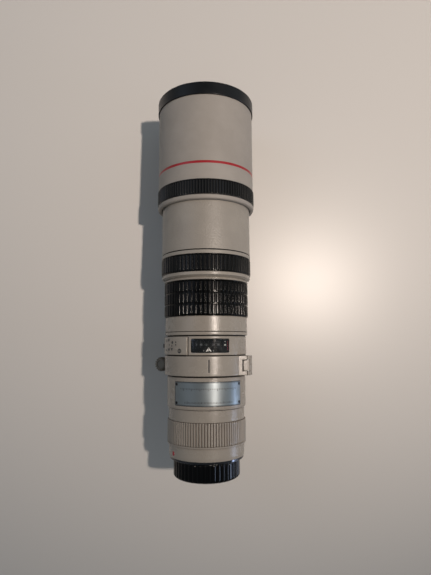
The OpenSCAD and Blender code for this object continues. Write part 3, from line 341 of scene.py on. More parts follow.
# ABS of the small black parts, with the mould's fine spark texture.
BLACK_ABS = Finish(
    "moulded_abs", "black_plastic", "#1d1d1f", "#232325", roughness=0.45, texture=Texture.MOULDED,
    grain_mm=0.35, depth_mm=0.01,
)
# Polypropylene cap: glossy, so that it mirrors the window between its ridges.
CAP_PLASTIC = Finish(
    "glossy_moulded_cap", "cap_plastic", "#020203", "#040405", roughness=0.13, spread=0.02,
    texture=Texture.MOULDED, grain_mm=1.5, depth_mm=0.008, ior=1.28,
)
# Black anodised aluminium, turned: fine rings that dull its sheen.
ANODISED = Finish(
    "black_anodised_aluminium", "black_anodised", "#1e1e20", "#252527", roughness=0.42,
    metallic=0.5, texture=Texture.TURNED, grain_mm=0.3, depth_mm=0.01,
)
# Satin chrome on brass, its colour darkened as painted shade to what it mirrors of the room.
CHROME = Finish(
    "satin_chrome", "mount_chrome", "#4f5054", "#494a4e", roughness=0.1, spread=0.04, metallic=1.0,
    texture=Texture.TURNED, grain_mm=0.4, depth_mm=0.002,
)
# Bare turned metals of the inner pieces.
STEEL = Finish(
    "turned_steel", "steel", "#a9abad", "#9c9ea1", roughness=0.3, metallic=1.0,
    texture=Texture.TURNED, grain_mm=0.3, depth_mm=0.004,
)
ALUMINIUM = Finish(
    "turned_aluminium", "plain_aluminium", "#b9babc", "#aeb0b2", roughness=0.32, metallic=1.0,
    texture=Texture.TURNED, grain_mm=0.3, depth_mm=0.004,
)
BRASS = Finish(
    "bright_brass", "brass", "#cda65a", "#c09a50", roughness=0.24, metallic=1.0,
    texture=Texture.TURNED, grain_mm=0.3, depth_mm=0.003,
)
# Optical glass with a thin coating, so faintly blue and barely rough.
OPTICAL = Finish(
    "coated_optical_glass", "lens_glass", "#e9f1f6", "#e4eef5", roughness=0.02, spread=0.0,
    transmission=1.0, ior=1.52,
)
# Acrylic window: clear, with a hard coat that keeps a soft glare.
WINDOW = Finish(
    "acrylic_window", "window_plastic", "#eef1f2", "#eef1f2", roughness=0.03, spread=0.01,
    transmission=1.0, ior=1.2, coat=0.16, coat_roughness=0.06,
)
# Brushed and clear-lacquered aluminium plate, tinted blue-grey.
PLATE = Finish(
    "brushed_nameplate", "plate_aluminium", "#767e82", "#80888b", roughness=0.38, metallic=0.65,
    coat=0.3, coat_roughness=0.2, texture=Texture.BRUSHED, grain_mm=0.25, depth_mm=0.004,
)
# Oil-blackened steel of the drive pins.
DARK_STEEL = Finish(
    "blackened_steel", "dark_rivet", "#1a1b1e", "#232327", roughness=0.35, metallic=0.7,
)
# Red lacquer of the index dot, under a clear coat.
RED_GLOSS = Finish("red_gloss", "index_red", "#8e1420", "#84121d", roughness=0.25, coat=0.4)
# Solder mask on glass-fibre laminate.
BOARD = Finish("solder_mask", "board", "#26513a", "#224a35", roughness=0.35)
# Blackened spring steel, brushed along the blade.
BLADE = Finish(
    "blade_black", "blade_black", "#1c1c1e", "#222224", roughness=0.5, metallic=0.3,
    texture=Texture.BRUSHED, grain_mm=0.2, depth_mm=0.003,
)
# The knob's enamel is darker and browner than the barrel's.
KNOB_PAINT = Finish(
    "knob_enamel", "knob_paint", "#746d62", "#645d52", roughness=0.42, texture=Texture.SPRAYED,
    grain_mm=0.5, depth_mm=0.01,
)
# Flock in the hood: upright nylon fibres that swallow light.
FLOCK = Finish(
    "flock_lining", "black_plastic", "#0c0c0c", "#121212", roughness=0.95, sheen=0.3,
    texture=Texture.FLOCKED, grain_mm=0.3, depth_mm=0.1,
)
# Inks of the marks, matt as screen printing leaves them.
WHITE_INK = Finish("white_ink", "index_red", "#e6e4df", "#dedcd6", roughness=0.5)
BLACK_INK = Finish("black_ink", "dark_rivet", "#1b1a1a", "#242222", roughness=0.5)
RED_INK = Finish("red_ink", "index_red", "#b0303a", "#a82c36", roughness=0.5)
# Red lacquer run into the hood's groove.
RED_LINE = Finish("red_lacquer", "index_red", "#96101d", "#8c0d19", roughness=0.35)
# Painted shade: dark rings and strips, like bare anodised shoulders, laid in the joints and recesses between
# the painted rings so that they show as dark lines.
PAINTED_SHADE = Finish("joint_shadow", "black_anodised", "#0b0908", "#0e0c0a", roughness=0.6, ior=1.3)
# The numbers lie deep under the window, so their ink is painted grey as painted shade.
SHADED_INK = Finish("grey_ink_painted_shade", "index_red", "#77777a", "#6e6e70", roughness=0.5)
# Matt black mask under the window, which leaves only the scale in sight.
MASK = Finish("printed_mask", "black_plastic", "#050506", "#080809", roughness=0.6)

# The plain finish of each slot of the frame.
SLOT_FINISH: dict[str, Finish] = {
    finish.slot: finish
    for finish in (
        ENAMEL, FOCUS_RUBBER, RIM_ABS, BLACK_ABS, ANODISED, CHROME, STEEL, ALUMINIUM, BRASS, OPTICAL,
        WINDOW, PLATE, DARK_STEEL, RED_GLOSS, BOARD, BLADE, KNOB_PAINT, CAP_PLASTIC,
    )
}


# Surfaces


def rounded(corners: Sequence[Sequence[float]], steps: int = 4) -> tuple[np.ndarray, np.ndarray]:
    """Round every corner of a closed outline.

    At corner P with unit vectors u, v towards its neighbours and half the angle between them h, the
    arc starts t = min(radius / tan h, 0.45 of either side) from P along u, ends t along v, and turns
    about C = P + unit(u + v) t / cos h. A corner of radius 0 stays one sharp point.

    Args:
        corners: Rows of place along the lens, distance from its axis and corner radius.
        steps: Points on each arc.

    Returns:
        Points of the outline, and for each the number of the corner it belongs to.
    """
    table = np.asarray(corners, float)
    point, radius = table[:, :2], table[:, 2]
    back, ahead = np.roll(point, 1, axis=0) - point, np.roll(point, -1, axis=0) - point
    back_len, ahead_len = np.linalg.norm(back, axis=1), np.linalg.norm(ahead, axis=1)
    u, v = back / back_len[:, None], ahead / ahead_len[:, None]
    half = np.arccos(np.clip((u * v).sum(axis=1), -1.0, 1.0)) / 2.0
    reach = np.minimum(radius / np.tan(half), 0.45 * np.minimum(back_len, ahead_len))
    sharp = (radius <= 0) | (half > 1.55)
    bisector = u + v
    width = np.linalg.norm(bisector, axis=1)
    bisector = bisector / np.where(sharp, 1.0, width)[:, None]
    centre = point + bisector * (reach / np.maximum(np.cos(half), 1e-6))[:, None]
    start, end = point + u * reach[:, None], point + v * reach[:, None]
    turn = np.maximum(np.pi - 2.0 * half, 1e-6)
    share = np.linspace(0.0, 1.0, steps)
    first = np.sin((1.0 - share)[None, :] * turn[:, None]) / np.sin(turn)[:, None]
    second = np.sin(share[None, :] * turn[:, None]) / np.sin(turn)[:, None]
    arc = (
        centre[:, None]
        + (start - centre)[:, None] * first[..., None]
        + (end - centre)[:, None] * second[..., None]
    )
    arc[sharp] = point[sharp, None]
    keep = np.where(sharp[:, None], share[None, :] == 0.0, True)
    owner = np.repeat(np.arange(len(table)), steps).reshape(keep.shape)
    return arc[keep], owner[keep]


@dataclass(frozen=True)
class Ribs:
    """Ribs round a turned piece, each with a flat land, eased edges and sloping flanks."""

    count: int
    height: float
    land: float = 0.5
    root: float = 0.7
    ease: float = 0.06

    def columns(self, narrow: np.ndarray) -> tuple[np.ndarray, np.ndarray]:
        """Angles of the columns round the lens, and how much of the rib stands at each.

        Over one pitch the rib rises from 0 to 1 between half the root share and half the land
        share from its middle, with an eased step at both ends. Where the outline narrows the rib,
        its own columns are drawn in to its middle and the groove's stay, so that it ends round.

        Args:
            narrow: Share of the rib's width at each point of the outline.

        Returns:
            Angles on a grid, outline by column, and the rib's share at each column.
        """
        land, root, ease = self.land / 2, self.root / 2, self.ease
        side = np.array([0.0, land - ease, land, (land + root) / 2, root, root + ease])
        rise = np.array([1.0, 1.0, 0.88, 0.5, 0.12, 0.0])
        phase = np.concatenate([-side[:0:-1], side])
        tooth = np.concatenate([rise[:0:-1], rise])
        moved = np.where(np.abs(phase) <= root, phase * narrow[:, None], phase)
        turn = (np.arange(self.count)[None, :, None] + moved[:, None, :]) * 2 * np.pi / self.count
        return turn.reshape(len(narrow), -1), np.tile(tooth, self.count)


def rib_end(place: float, way: float, foot: float, width: float) -> list[tuple[float, ...]]:
    """Rows of an outline over which ribs rise and widen from a round end.

    The width follows the circle sqrt(1 - (1 - t)^2) over half a rib's width.

    Args:
        place: Place of the rib's tip along the lens.
        way: 1 where the rib lies ahead of its tip, -1 where it lies behind it.
        foot: Distance of the groove's floor from the axis.
        width: Width of the rib, in millimetres.

    Returns:
        Rows of place, radius, corner radius, rib share and rib width, from tip to full rib.
    """
    t = np.array([0.0, 0.12, 0.35, 0.65, 1.0])
    rise = np.array([0.0, 0.62, 0.9, 0.98, 1.0])
    wide = np.sqrt(1 - (1 - t) ** 2) * 0.75 + 0.25
    rows = np.stack([place + way * t * width / 2, np.full(5, foot), np.zeros(5), rise, wide], axis=-1)
    return [tuple(row) for row in (rows if way > 0 else rows[::-1]).tolist()]


def grid_faces(rows: int, columns: int, wrap_rows: bool = True, wrap_columns: bool = True) -> np.ndarray:
    """Quads of a grid, closed onto itself along either direction.

    Args:
        rows: Points along the first direction.
        columns: Points along the second.
        wrap_rows: Joins the last row to the first.
        wrap_columns: Joins the last column to the first.

    Returns:
        Four point numbers for each face.
    """
    i, j = np.meshgrid(
        np.arange(rows if wrap_rows else rows - 1),
        np.arange(columns if wrap_columns else columns - 1),
        indexing="ij",
    )
    i2, j2 = (i + 1) % rows, (j + 1) % columns
    quads = np.stack([i * columns + j, i * columns + j2, i2 * columns + j2, i2 * columns + j], axis=-1)
    return quads.reshape(-1, 4)


def solid(
    name: str, points: np.ndarray, quads: np.ndarray, caps: Sequence[np.ndarray] = ()
) -> bpy.types.Object:
    """Make a closed, smooth piece that faces outwards.

    The volume is the sum of a . (b x c) / 6 over the faces cut into triangles, and where it comes out
    negative every face is turned over. Each point's normal is the sum of its faces' normals, weighted
    by their area, so that broad faces stay even and eased edges take the turn.

    Args:
        name: Name of the piece.
        points: Points in millimetres, in any grid shape.
        quads: Four point numbers for each face.
        caps: Point numbers of each closing face.

    Returns:
        The piece, at the origin.
    """
    place = points.reshape(-1, 3) * MM
    corner = place[quads]
    first = np.cross(corner[:, 1] - corner[:, 0], corner[:, 2] - corner[:, 0])
    second = np.cross(corner[:, 2] - corner[:, 0], corner[:, 3] - corner[:, 0])
    volume = (corner[:, 0] * (first + second)).sum()
    normal = np.zeros_like(place)
    for k in range(4):
        np.add.at(normal, quads[:, k], first + second)
    for cap in caps:
        ring = place[cap]
        middle = ring.mean(axis=0)
        area = np.cross(ring - middle, np.roll(ring, -1, axis=0) - middle).sum(axis=0)
        normal[cap] += area / 8
        volume += (middle * area).sum()
    side = -1.0 if volume < 0 else 1.0
    faces = [tuple(q) for q in (quads[:, ::-1] if side < 0 else quads).tolist()]
    faces += [tuple(int(c) for c in (cap[::-1] if side < 0 else cap)) for cap in caps]
    length = np.linalg.norm(normal, axis=1)
    normal = side * normal / np.where(length > 0, length, 1.0)[:, None]
    mesh = bpy.data.meshes.new(name)
    mesh.from_pydata(place.tolist(), [], faces)
    mesh.update()
    mesh.shade_smooth()
    mesh.normals_split_custom_set_from_vertices(normal.tolist())
    made = bpy.data.objects.new(name, mesh)
    bpy.context.scene.collection.objects.link(made)
    return made


@dataclass(frozen=True)
class Stand:
    """Place and axes of a small piece: its own x, y and z directions in the lens's frame."""

    origin: np.ndarray
    axes: np.ndarray

    @classmethod
    def on_axis(cls, origin: Sequence[float], axis: Sequence[float]) -> Stand:
        """Stand whose y points along an axis.

        Args:
            origin: Place of the stand.
            axis: Direction of its y, of any length.

        Returns:
            The stand.
        """
        y = np.asarray(axis, float) / np.linalg.norm(axis)
        x = np.cross(y, [0.0, 1.0, 0.0] if abs(y[1]) < 0.9 else [0.0, 0.0, 1.0])
        x /= np.linalg.norm(x)
        return cls(np.asarray(origin, float), np.stack([x, y, np.cross(x, y)]))

    @classmethod
    def at_angle(cls, degrees: float, radius: float, along: float) -> Stand:
        """Stand on the lens at an angle: x along the lens's turn, y along the lens, z outwards.

        Args:
            degrees: Angle from the index mark.
            radius: Distance of the stand from the axis.
            along: Its place along the lens.

        Returns:
            The stand.
        """
        a = np.radians(degrees)
        out = np.array([np.sin(a), 0.0, np.cos(a)])
        turn = np.array([np.cos(a), 0.0, -np.sin(a)])
        return cls(out * radius + np.array([0.0, along, 0.0]), np.stack([turn, [0.0, 1.0, 0.0], out]))

    def carry(self, points: np.ndarray) -> np.ndarray:
        """Take points from the stand's own axes into the lens's frame."""
        return self.origin + points @ self.axes


def lathe(
    name: str, corners: Sequence[Sequence[float]], ribs: Ribs | None = None, sides: int = 360,
    steps: int = 4, stand: Stand | None = None,
) -> bpy.types.Object:
    """Turn a closed outline with eased corners right round: (q sin a, y, q cos a), q = r + rib.

    Args:
        name: Name of the piece.
        corners: Rows of place along the axis, distance from it, corner radius and, on a ribbed
            piece, the share of the rib height that stands there and of the rib width.
        ribs: Ribs round the piece.
        sides: Columns round a piece without ribs.
        steps: Points on each eased corner.
        stand: Axis that the piece turns about, where it isn't the lens's own.

    Returns:
        The piece.
    """
    table = np.asarray([list(c) + [0.0, 1.0][len(c) - 3 :] for c in corners], float)
    outline, owner = rounded(table[:, :3], steps)
    if ribs is None:
        angle = np.broadcast_to(np.linspace(0, 2 * np.pi, sides, endpoint=False), (len(outline), sides))
        radius = np.broadcast_to(outline[:, 1, None], angle.shape)
    else:
        angle, tooth = ribs.columns(table[owner, 4])
        radius = outline[:, 1, None] + (table[owner, 3] * ribs.height)[:, None] * tooth[None, :]
    along = np.broadcast_to(outline[:, 0, None], angle.shape)
    grid = np.stack([radius * np.sin(angle), along, radius * np.cos(angle)], axis=-1)
    return solid(name, stand.carry(grid) if stand else grid, grid_faces(*angle.shape))


def strip(
    name: str, corners: Sequence[Sequence[float]], left: float, right: float, ease: float = 0.15,
    corner_round: float = 0.0, steps: int = 3,
) -> bpy.types.Object:
    """Carry a closed outline along part of the way round, with eased and closed ends.

    Args:
        name: Name of the piece.
        corners: Rows of place along the lens, distance from its axis and corner radius.
        left: First angle from the index mark, in degrees.
        right: Last angle.
        ease: Easing of the two ends, in millimetres.
        corner_round: Radius of the four corners of the outline seen from outside: where the end is
            s nearer than it, the length is drawn in by c - sqrt(c^2 - (c - s)^2) at both sides.
        steps: Points on each eased corner of the section.

    Returns:
        The piece.
    """
    outline, _ = rounded(corners, steps)
    radius = outline[:, 1].max()
    length = np.radians(right - left) * radius
    ends = np.array([0.0, ease])
    if corner_round > 0:
        bend = corner_round * (1 - np.cos(np.linspace(0, np.pi / 2, 7)[1:]))
        ends = np.concatenate([ends, ease + bend])
    middle = np.linspace(ends[-1], length - ends[-1], max(int(length / 0.7), 4))[1:-1]
    place = np.concatenate([ends, middle, length - ends[::-1]])
    angle = np.radians(left) + place / radius
    off = np.minimum(place, length - place)
    low, high = outline.min(axis=0), outline.max(axis=0)
    centre, half = (low + high) / 2, (high - low) / 2
    near = np.clip(off - ease, 0, corner_round)
    draw = corner_round - np.sqrt(np.maximum(corner_round**2 - (corner_round - near) ** 2, 0))
    squeeze = np.where(off < ease / 2, min(ease, half.min() * 0.9), 0.0)
    along = centre[0] + (outline[:, 0, None] - centre[0]) * ((half[0] - draw - squeeze) / half[0])
    out = centre[1] + (outline[:, 1, None] - centre[1]) * ((half[1] - squeeze) / half[1])
    grid = np.stack([out * np.sin(angle), along, out * np.cos(angle)], axis=-1)
    rows, columns = grid.shape[:2]
    first = np.arange(rows) * columns
    return solid(
        name, grid, grid_faces(rows, columns, wrap_columns=False), (first, (first + columns - 1)[::-1])
    )


def slab(
    name: str, outline: np.ndarray, low: float, high: float, ease: float, stand: Stand
) -> bpy.types.Object:
    """Raise a closed outline from one height to another, with eased edges.

    Over the edge's quarter round the outline is drawn in by ease (1 - sin a) at the height
    ease (1 - cos a), for a from 0 to 90 degrees.

    Args:
        name: Name of the piece.
        outline: Rows of x and y on the stand.
        low: Height of its underside over the stand.
        high: Height of its top.
        ease: Radius of the edges.
        stand: Place and axes of the piece.

    Returns:
        The piece.
    """
    ahead = np.roll(outline, -1, axis=0) - outline
    ahead = ahead / np.linalg.norm(ahead, axis=1)[:, None]
    flow = ahead + np.roll(ahead, 1, axis=0)
    flow = flow / np.linalg.norm(flow, axis=1)[:, None]
    area = (outline[:, 0] * np.roll(outline[:, 1], -1) - np.roll(outline[:, 0], -1) * outline[:, 1]).sum()
    inward = np.stack([-flow[:, 1], flow[:, 0]], axis=-1) * np.sign(area)
    a = np.radians([0.0, 30.0, 60.0, 90.0])
    draw = np.concatenate([ease * (1 - np.sin(a)), ease * (1 - np.sin(a))[::-1]])
    height = np.concatenate([low + ease * (1 - np.cos(a)), high - ease * (1 - np.cos(a))[::-1]])
    flat = outline[None] + inward[None] * draw[:, None, None]
    tall = np.broadcast_to(height[:, None, None], flat.shape[:2] + (1,))
    rows, columns = flat.shape[:2]
    first = np.arange(columns)
    return solid(
        name,
        stand.carry(np.concatenate([flat, tall], axis=-1)),
        grid_faces(rows, columns, wrap_rows=False),
        (first[::-1], first + (rows - 1) * columns),
    )


@dataclass(frozen=True)
class Opening:
    """Openings with round corners through a curved wall, all between the same two places."""

    rear: float
    front: float
    corner: float
    spans: tuple[tuple[float, float], ...]


def pierced(
    name: str, ends: tuple[float, float], radii: tuple[float, float], cut: Opening,
    span: tuple[float, float] | None = None, ease: float = 0.35, bevel: float = 0.2,
) -> bpy.types.Object:
    """Curved wall with openings in it, right round the lens or part of the way.

    Wall points lie on a grid, places along the lens by angles. Where the grid crosses an opening
    its rows follow the round corners: at s from the opening's side the edge is drawn in by
    c - sqrt(c^2 - (c - s)^2). The cells inside are left out and the edge is closed by a bevel
    and a wall down to the bore.

    Args:
        name: Name of the piece.
        ends: Rear and front end of the wall.
        radii: Bore and outer radius.
        cut: The openings.
        span: First and last angle, in degrees, where the wall doesn't run right round.
        ease: Radius of the outer edges.
        bevel: Width of the bevel round each opening.

    Returns:
        The piece.
    """
    bore, top = radii
    mm = np.degrees(1.0 / top)
    inside: list[np.ndarray] = []
    for left, right in cut.spans:
        half = min((right - left) / 2, cut.corner * mm)
        bend = half * (1 - np.cos(np.linspace(0, np.pi / 2, 6)))
        flat = np.linspace(left + half, right - half, max(int((right - left) / 2.0), 1) + 1)[1:-1]
        inside.append(np.concatenate([left + bend, flat, right - bend[::-1]]))
    stops = [edge for pair in cut.spans for edge in pair]
    first, last = span or (stops[-1] - 360.0, stops[-1])
    marks = [first] + stops + ([last] if span else [])
    angles: list[np.ndarray] = []
    holes: list[tuple[int, int]] = []
    for k, (a, b) in enumerate(zip(marks[:-1], marks[1:])):
        if k % 2:
            start = sum(len(x) for x in angles)
            columns = inside[(k - 1) // 2]
            holes.append((start, start + len(columns) - 1))
            angles.append(columns)
        else:
            columns = np.linspace(a, b, max(int((b - a) / 1.5), 3))
            keeps_first = span is not None and k == 0
            keeps_last = span is not None and k == len(marks) - 2
            angles.append(columns[0 if keeps_first else 1 : None if keeps_last else -1])
    angle = np.concatenate(angles)
    if span:
        eased = ease * mm * np.array([1 - np.cos(0.5), 1 - np.cos(1.0), 1.0])
        angle = np.concatenate(
            [[angle[0]], angle[0] + eased, angle[1:-1], angle[-1] - eased[::-1], [angle[-1]]]
        )
        holes = [(i + 3, j + 3) for i, j in holes]

    def layer(grow: float, radius: float, soft: float) -> np.ndarray:
        """Grid of points at one radius, with the openings grown and the outer edges eased.

        Args:
            grow: How far each opening is grown.
            radius: Distance from the axis.
            soft: Radius of the outer edges, below 0 where they are drawn outwards.

        Returns:
            Points, place along the lens by angle.
        """
        turn = angle.copy()
        low = np.full(len(turn), cut.rear + cut.corner)
        high = np.full(len(turn), cut.front - cut.corner)
        for i, j in holes:
            columns = turn[i : j + 1]
            middle = (columns[0] + columns[-1]) / 2
            wide = (columns[-1] - columns[0]) / 2
            off = np.clip((wide - np.abs(columns - middle)) / mm, 0, cut.corner)
            draw = cut.corner - np.sqrt(np.maximum(cut.corner**2 - (cut.corner - off) ** 2, 0))
            low[i : j + 1] = cut.rear + draw - grow
            high[i : j + 1] = cut.front - draw + grow
            turn[i : j + 1] = middle + (columns - middle) * (1 + grow * mm / wide)
        a = np.array([0.0, 0.5, 1.0, np.pi / 2])
        rim = abs(soft) * (1 - np.cos(a))
        share = np.linspace(0, 1, 3)[1:, None]
        rear_rows = ends[0] + rim[:, None] + 0 * turn
        front_rows = ends[1] - rim[::-1, None] + 0 * turn
        lower = rear_rows[-1] + (low - rear_rows[-1]) * share
        middle_rows = low + (high - low) * np.linspace(0, 1, 6)[1:-1, None]
        upper = high + (front_rows[0] - high) * np.linspace(0, 1, 3)[:-1, None]
        y = np.concatenate([rear_rows, lower, middle_rows, upper, front_rows])
        drop = np.zeros(len(y))
        drop[:4] = soft * (1 - np.sin(a))
        drop[-4:] = drop[:4][::-1]
        fall = np.zeros(len(turn))
        if span:
            fall[:4] = drop[:4]
            fall[-4:] = fall[:4][::-1]
        edge = np.maximum(np.abs(drop[:, None]), np.abs(fall[None, :]))
        r = radius - np.sign(soft) * edge
        t = np.radians(turn)[None, :]
        return np.stack([r * np.sin(t), y, r * np.cos(t)], axis=-1)

    outer, lip = layer(bevel, top, ease), layer(0.0, top - bevel, ease)
    inner = layer(0.0, bore, -0.06)
    rows, columns = outer.shape[:2]
    # Rows at the openings' rear and front edge: the grid starts with 4 eased rows and 2 up to the edge.
    row_low, row_high = 5, 10
    cells = grid_faces(rows, columns, wrap_rows=False, wrap_columns=span is None)
    row, column = cells[:, 0] // columns, cells[:, 0] % columns
    open_cell = np.zeros(len(cells), bool)
    for i, j in holes:
        open_cell |= (row >= row_low) & (row < row_high) & (column >= i) & (column < j)
    cells = cells[~open_cell]
    count = rows * columns
    quads = [cells, cells[:, ::-1] + 2 * count]

    def wall(loop: np.ndarray, layers: Sequence[int]) -> None:
        """Join a closed loop of grid points from layer to layer.

        Args:
            loop: Point numbers on one layer.
            layers: Numbers of the layers, from the outside in.
        """
        ahead = np.roll(loop, -1)
        for a, b in zip(layers[:-1], layers[1:]):
            joined = (loop + a * count, ahead + a * count, ahead + b * count, loop + b * count)
            quads.append(np.stack(joined, axis=-1))

    for i, j in holes:
        across, up = np.arange(i, j), np.arange(row_low, row_high)
        wall(
            np.concatenate([
                row_low * columns + across, up * columns + j,
                row_high * columns + across[::-1] + 1, (up[::-1] + 1) * columns + i,
            ]),
            (0, 1, 2),
        )
    end = np.arange(columns)
    if span is None:
        wall(end[::-1], (0, 2))
        wall((rows - 1) * columns + end, (0, 2))
    else:
        side = np.arange(rows)
        wall(
            np.concatenate([
                end[:-1][::-1] + 1, side[:-1] * columns, (rows - 1) * columns + end[:-1],
                side[:0:-1] * columns + columns - 1,
            ]),
            (0, 2),
        )
    every = np.concatenate(quads)
    used, renumbered = np.unique(every, return_inverse=True)
    return solid(name, np.stack([outer, lip, inner]).reshape(-1, 3)[used], renumbered.reshape(every.shape))


# Marks


class Marks:
    """Printed or filled marks that lie on the lens: thin solids wrapped round its axis."""

    def __init__(self, name: str, thick: float = 0.03) -> None:
        """Start an empty group of marks.

        Args:
            name: Name of the piece that the marks make together.
            thick: Thickness of the ink, in millimetres.
        """
        self.name = name
        self.thick = thick
        self.points: list[np.ndarray] = []
        self.faces: list[tuple[int, ...]] = []

    def _add(self, points: np.ndarray, faces: Sequence[Sequence[int]]) -> None:
        """Add points, in place on the lens, and the faces between them.

        Args:
            points: The points.
            faces: Point numbers of each face.
        """
        start = sum(len(p) for p in self.points)
        self.points.append(points)
        self.faces += [tuple(int(i) + start for i in face) for face in faces]

    @staticmethod
    def _wrap(flat: np.ndarray, degrees: float, along: float, radius: float) -> np.ndarray:
        """Lay x round the lens, y along it and z outwards: angle = degrees + x / radius.

        Args:
            flat: Points of the flat mark.
            degrees: Angle of its origin.
            along: Place of its origin.
            radius: Radius of the surface that it lies on.

        Returns:
            Points in place on the lens.
        """
        angle = np.radians(degrees) + flat[:, 0] / radius
        r = radius + flat[:, 2]
        return np.stack([r * np.sin(angle), along + flat[:, 1], r * np.cos(angle)], axis=-1)

    def shape(
        self, outline: Sequence[Sequence[float]], degrees: float, along: float, radius: float
    ) -> None:
        """Add a small shape.

        Args:
            outline: Corners of the shape, x round the lens and y along it, in millimetres.
            degrees: Angle of its origin.
            along: Place of its origin.
            radius: Radius of the surface that it lies on.
        """
        flat = np.asarray(outline, float)
        if (flat[:, 0] * np.roll(flat[:, 1], -1) - np.roll(flat[:, 0], -1) * flat[:, 1]).sum() < 0:
            flat = flat[::-1]
        n = len(flat)
        low = np.concatenate([flat, np.zeros((n, 1))], axis=1)
        high = low + [0.0, 0.0, self.thick]
        ring = np.arange(n)
        sides = [(i, (i + 1) % n, n + (i + 1) % n, n + i) for i in range(n)]
        faces = [tuple(ring[::-1]), tuple(ring + n), *sides]
        self._add(self._wrap(np.concatenate([low, high]), degrees, along, radius), faces)

    def bar(self, wide: float, long: float, degrees: float, along: float, radius: float) -> None:
        """Add a bar, cut into short lengths round the lens so that it follows the surface.

        Args:
            wide: Its width round the lens.
            long: Its length along the lens.
            degrees: Angle of its middle.
            along: Place of its middle.
            radius: Radius of the surface that it lies on.
        """
        n = max(int(wide / 1.5), 1) + 1
        x = np.tile(np.linspace(-wide / 2, wide / 2, n), 4)
        y = np.repeat(np.array([-long, long, long, -long]) / 2, n)
        z = np.repeat([0.0, 0.0, self.thick, self.thick], n)
        points = self._wrap(np.stack([x, y, z], axis=-1), degrees, along, radius)
        sides = grid_faces(4, n, wrap_columns=False)[:, ::-1].tolist()
        ends = [(0, n, 2 * n, 3 * n), (4 * n - 1, 3 * n - 1, 2 * n - 1, n - 1)]
        self._add(points, sides + ends)

    def ring(self, outer: float, inner: float, degrees: float, along: float, radius: float) -> None:
        """Add a flat ring.

        Args:
            outer: Its outer radius.
            inner: Its inner radius.
            degrees: Angle of its middle.
            along: Place of its middle.
            radius: Radius of the surface that it lies on.
        """
        a = np.linspace(0, 2 * np.pi, 24, endpoint=False)
        circle = np.stack([np.cos(a), np.sin(a)], axis=-1)
        rows = [(inner, 0.0), (outer, 0.0), (outer, self.thick), (inner, self.thick)]
        flat = np.concatenate([np.c_[circle * r, np.full(24, z)] for r, z in rows])
        self._add(self._wrap(flat, degrees, along, radius), grid_faces(4, 24)[:, ::-1])

    def text(self, words: str, size: float, degrees: float, along: float, radius: float) -> None:
        """Add generic lettering, such as a plain number.

        Args:
            words: The characters.
            size: Height of the type, in millimetres.
            degrees: Angle of their middle.
            along: Place of their middle along the lens.
            radius: Radius of the surface that they lie on.
        """
        curve = bpy.data.curves.new("type", "FONT")
        curve.body, curve.size = words, size
        curve.align_x, curve.align_y = "CENTER", "CENTER"
        curve.extrude = self.thick / 2
        curve.offset = 0.035 * size
        curve.resolution_u = 3
        holder = bpy.data.objects.new("type", curve)
        bpy.context.scene.collection.objects.link(holder)
        bpy.context.view_layer.update()
        seen = holder.evaluated_get(bpy.context.evaluated_depsgraph_get())
        mesh = bpy.data.meshes.new_from_object(seen)
        joined = bmesh.new()
        joined.from_mesh(mesh)
        bmesh.ops.remove_doubles(joined, verts=joined.verts, dist=1e-4)
        flat = np.array([v.co[:] for v in joined.verts]) + [0.0, 0.0, self.thick / 2]
        faces = [[v.index for v in f.verts] for f in joined.faces]
        joined.free()
        bpy.data.objects.remove(holder)
        bpy.data.curves.remove(curve)
        bpy.data.meshes.remove(mesh)
        self._add(self._wrap(flat, degrees, along, radius), faces)

    def build(self) -> bpy.types.Object:
        """Make one piece of all the marks.

        Returns:
            The piece, at the origin.
        """
        mesh = bpy.data.meshes.new(self.name)
        mesh.from_pydata((np.concatenate(self.points) * MM).tolist(), [], self.faces)
        mesh.update()
        made = bpy.data.objects.new(self.name, mesh)
        bpy.context.scene.collection.objects.link(made)
        return made


# The lens

# Radii that turning and moulding leave on an edge, and the gap that keeps two faces apart.
SHARP = 0.05
CRISP = 0.1
BROKEN = 0.2
EASED = 0.3
ROUND = 0.5
HAIR = 0.02


def section(
    ends: tuple[float, float], heights: tuple[float, float], low_round: float = 0.0, high_round: float = 0.0
) -> list[tuple[float, float, float]]:
    """Lay out a four-sided section, from its low rear corner round by the top.

    Args:
        ends: Its rear and front end.
        heights: Its low and high side.
        low_round: Radius of both low corners.
        high_round: Radius of both high corners.

    Returns:
        The four corners, each with its radius.
    """
    (rear, front), (low, high) = ends, heights
    return [
        (rear, low, low_round), (rear, high, high_round), (front, high, high_round), (front, low, low_round),
    ]


class Assembly:
    """A sub-assembly that adds its pieces to the frame."""

    def place(
        self, piece: bpy.types.Object, body: str, finish: Finish, stands_for: Sequence[str] = ()
    ) -> None:
        """Dress a piece, hang it on its body and hide the nodes of the frame that it replaces.
        """
        piece.data.materials.clear()
        piece.data.materials.append(finish.material())
        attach(piece, body)
        if stands_for:
            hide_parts(*stands_for)
        LOG.info("%s: %d faces on %s", piece.name, len(piece.data.polygons), body)

    def joint(self, name: str, rear: float, front: float, low: float, high: float) -> None:
        """Lay a dark ring of painted shade in a groove of the barrel.

        Args:
            name: Name of the ring.
            rear: Its rear end.
            front: Its front end.
            low: Its bore.
            high: Its outer radius.
        """
        self.place(lathe(name, section((rear, front), (low, high))), "barrel", PAINTED_SHADE)


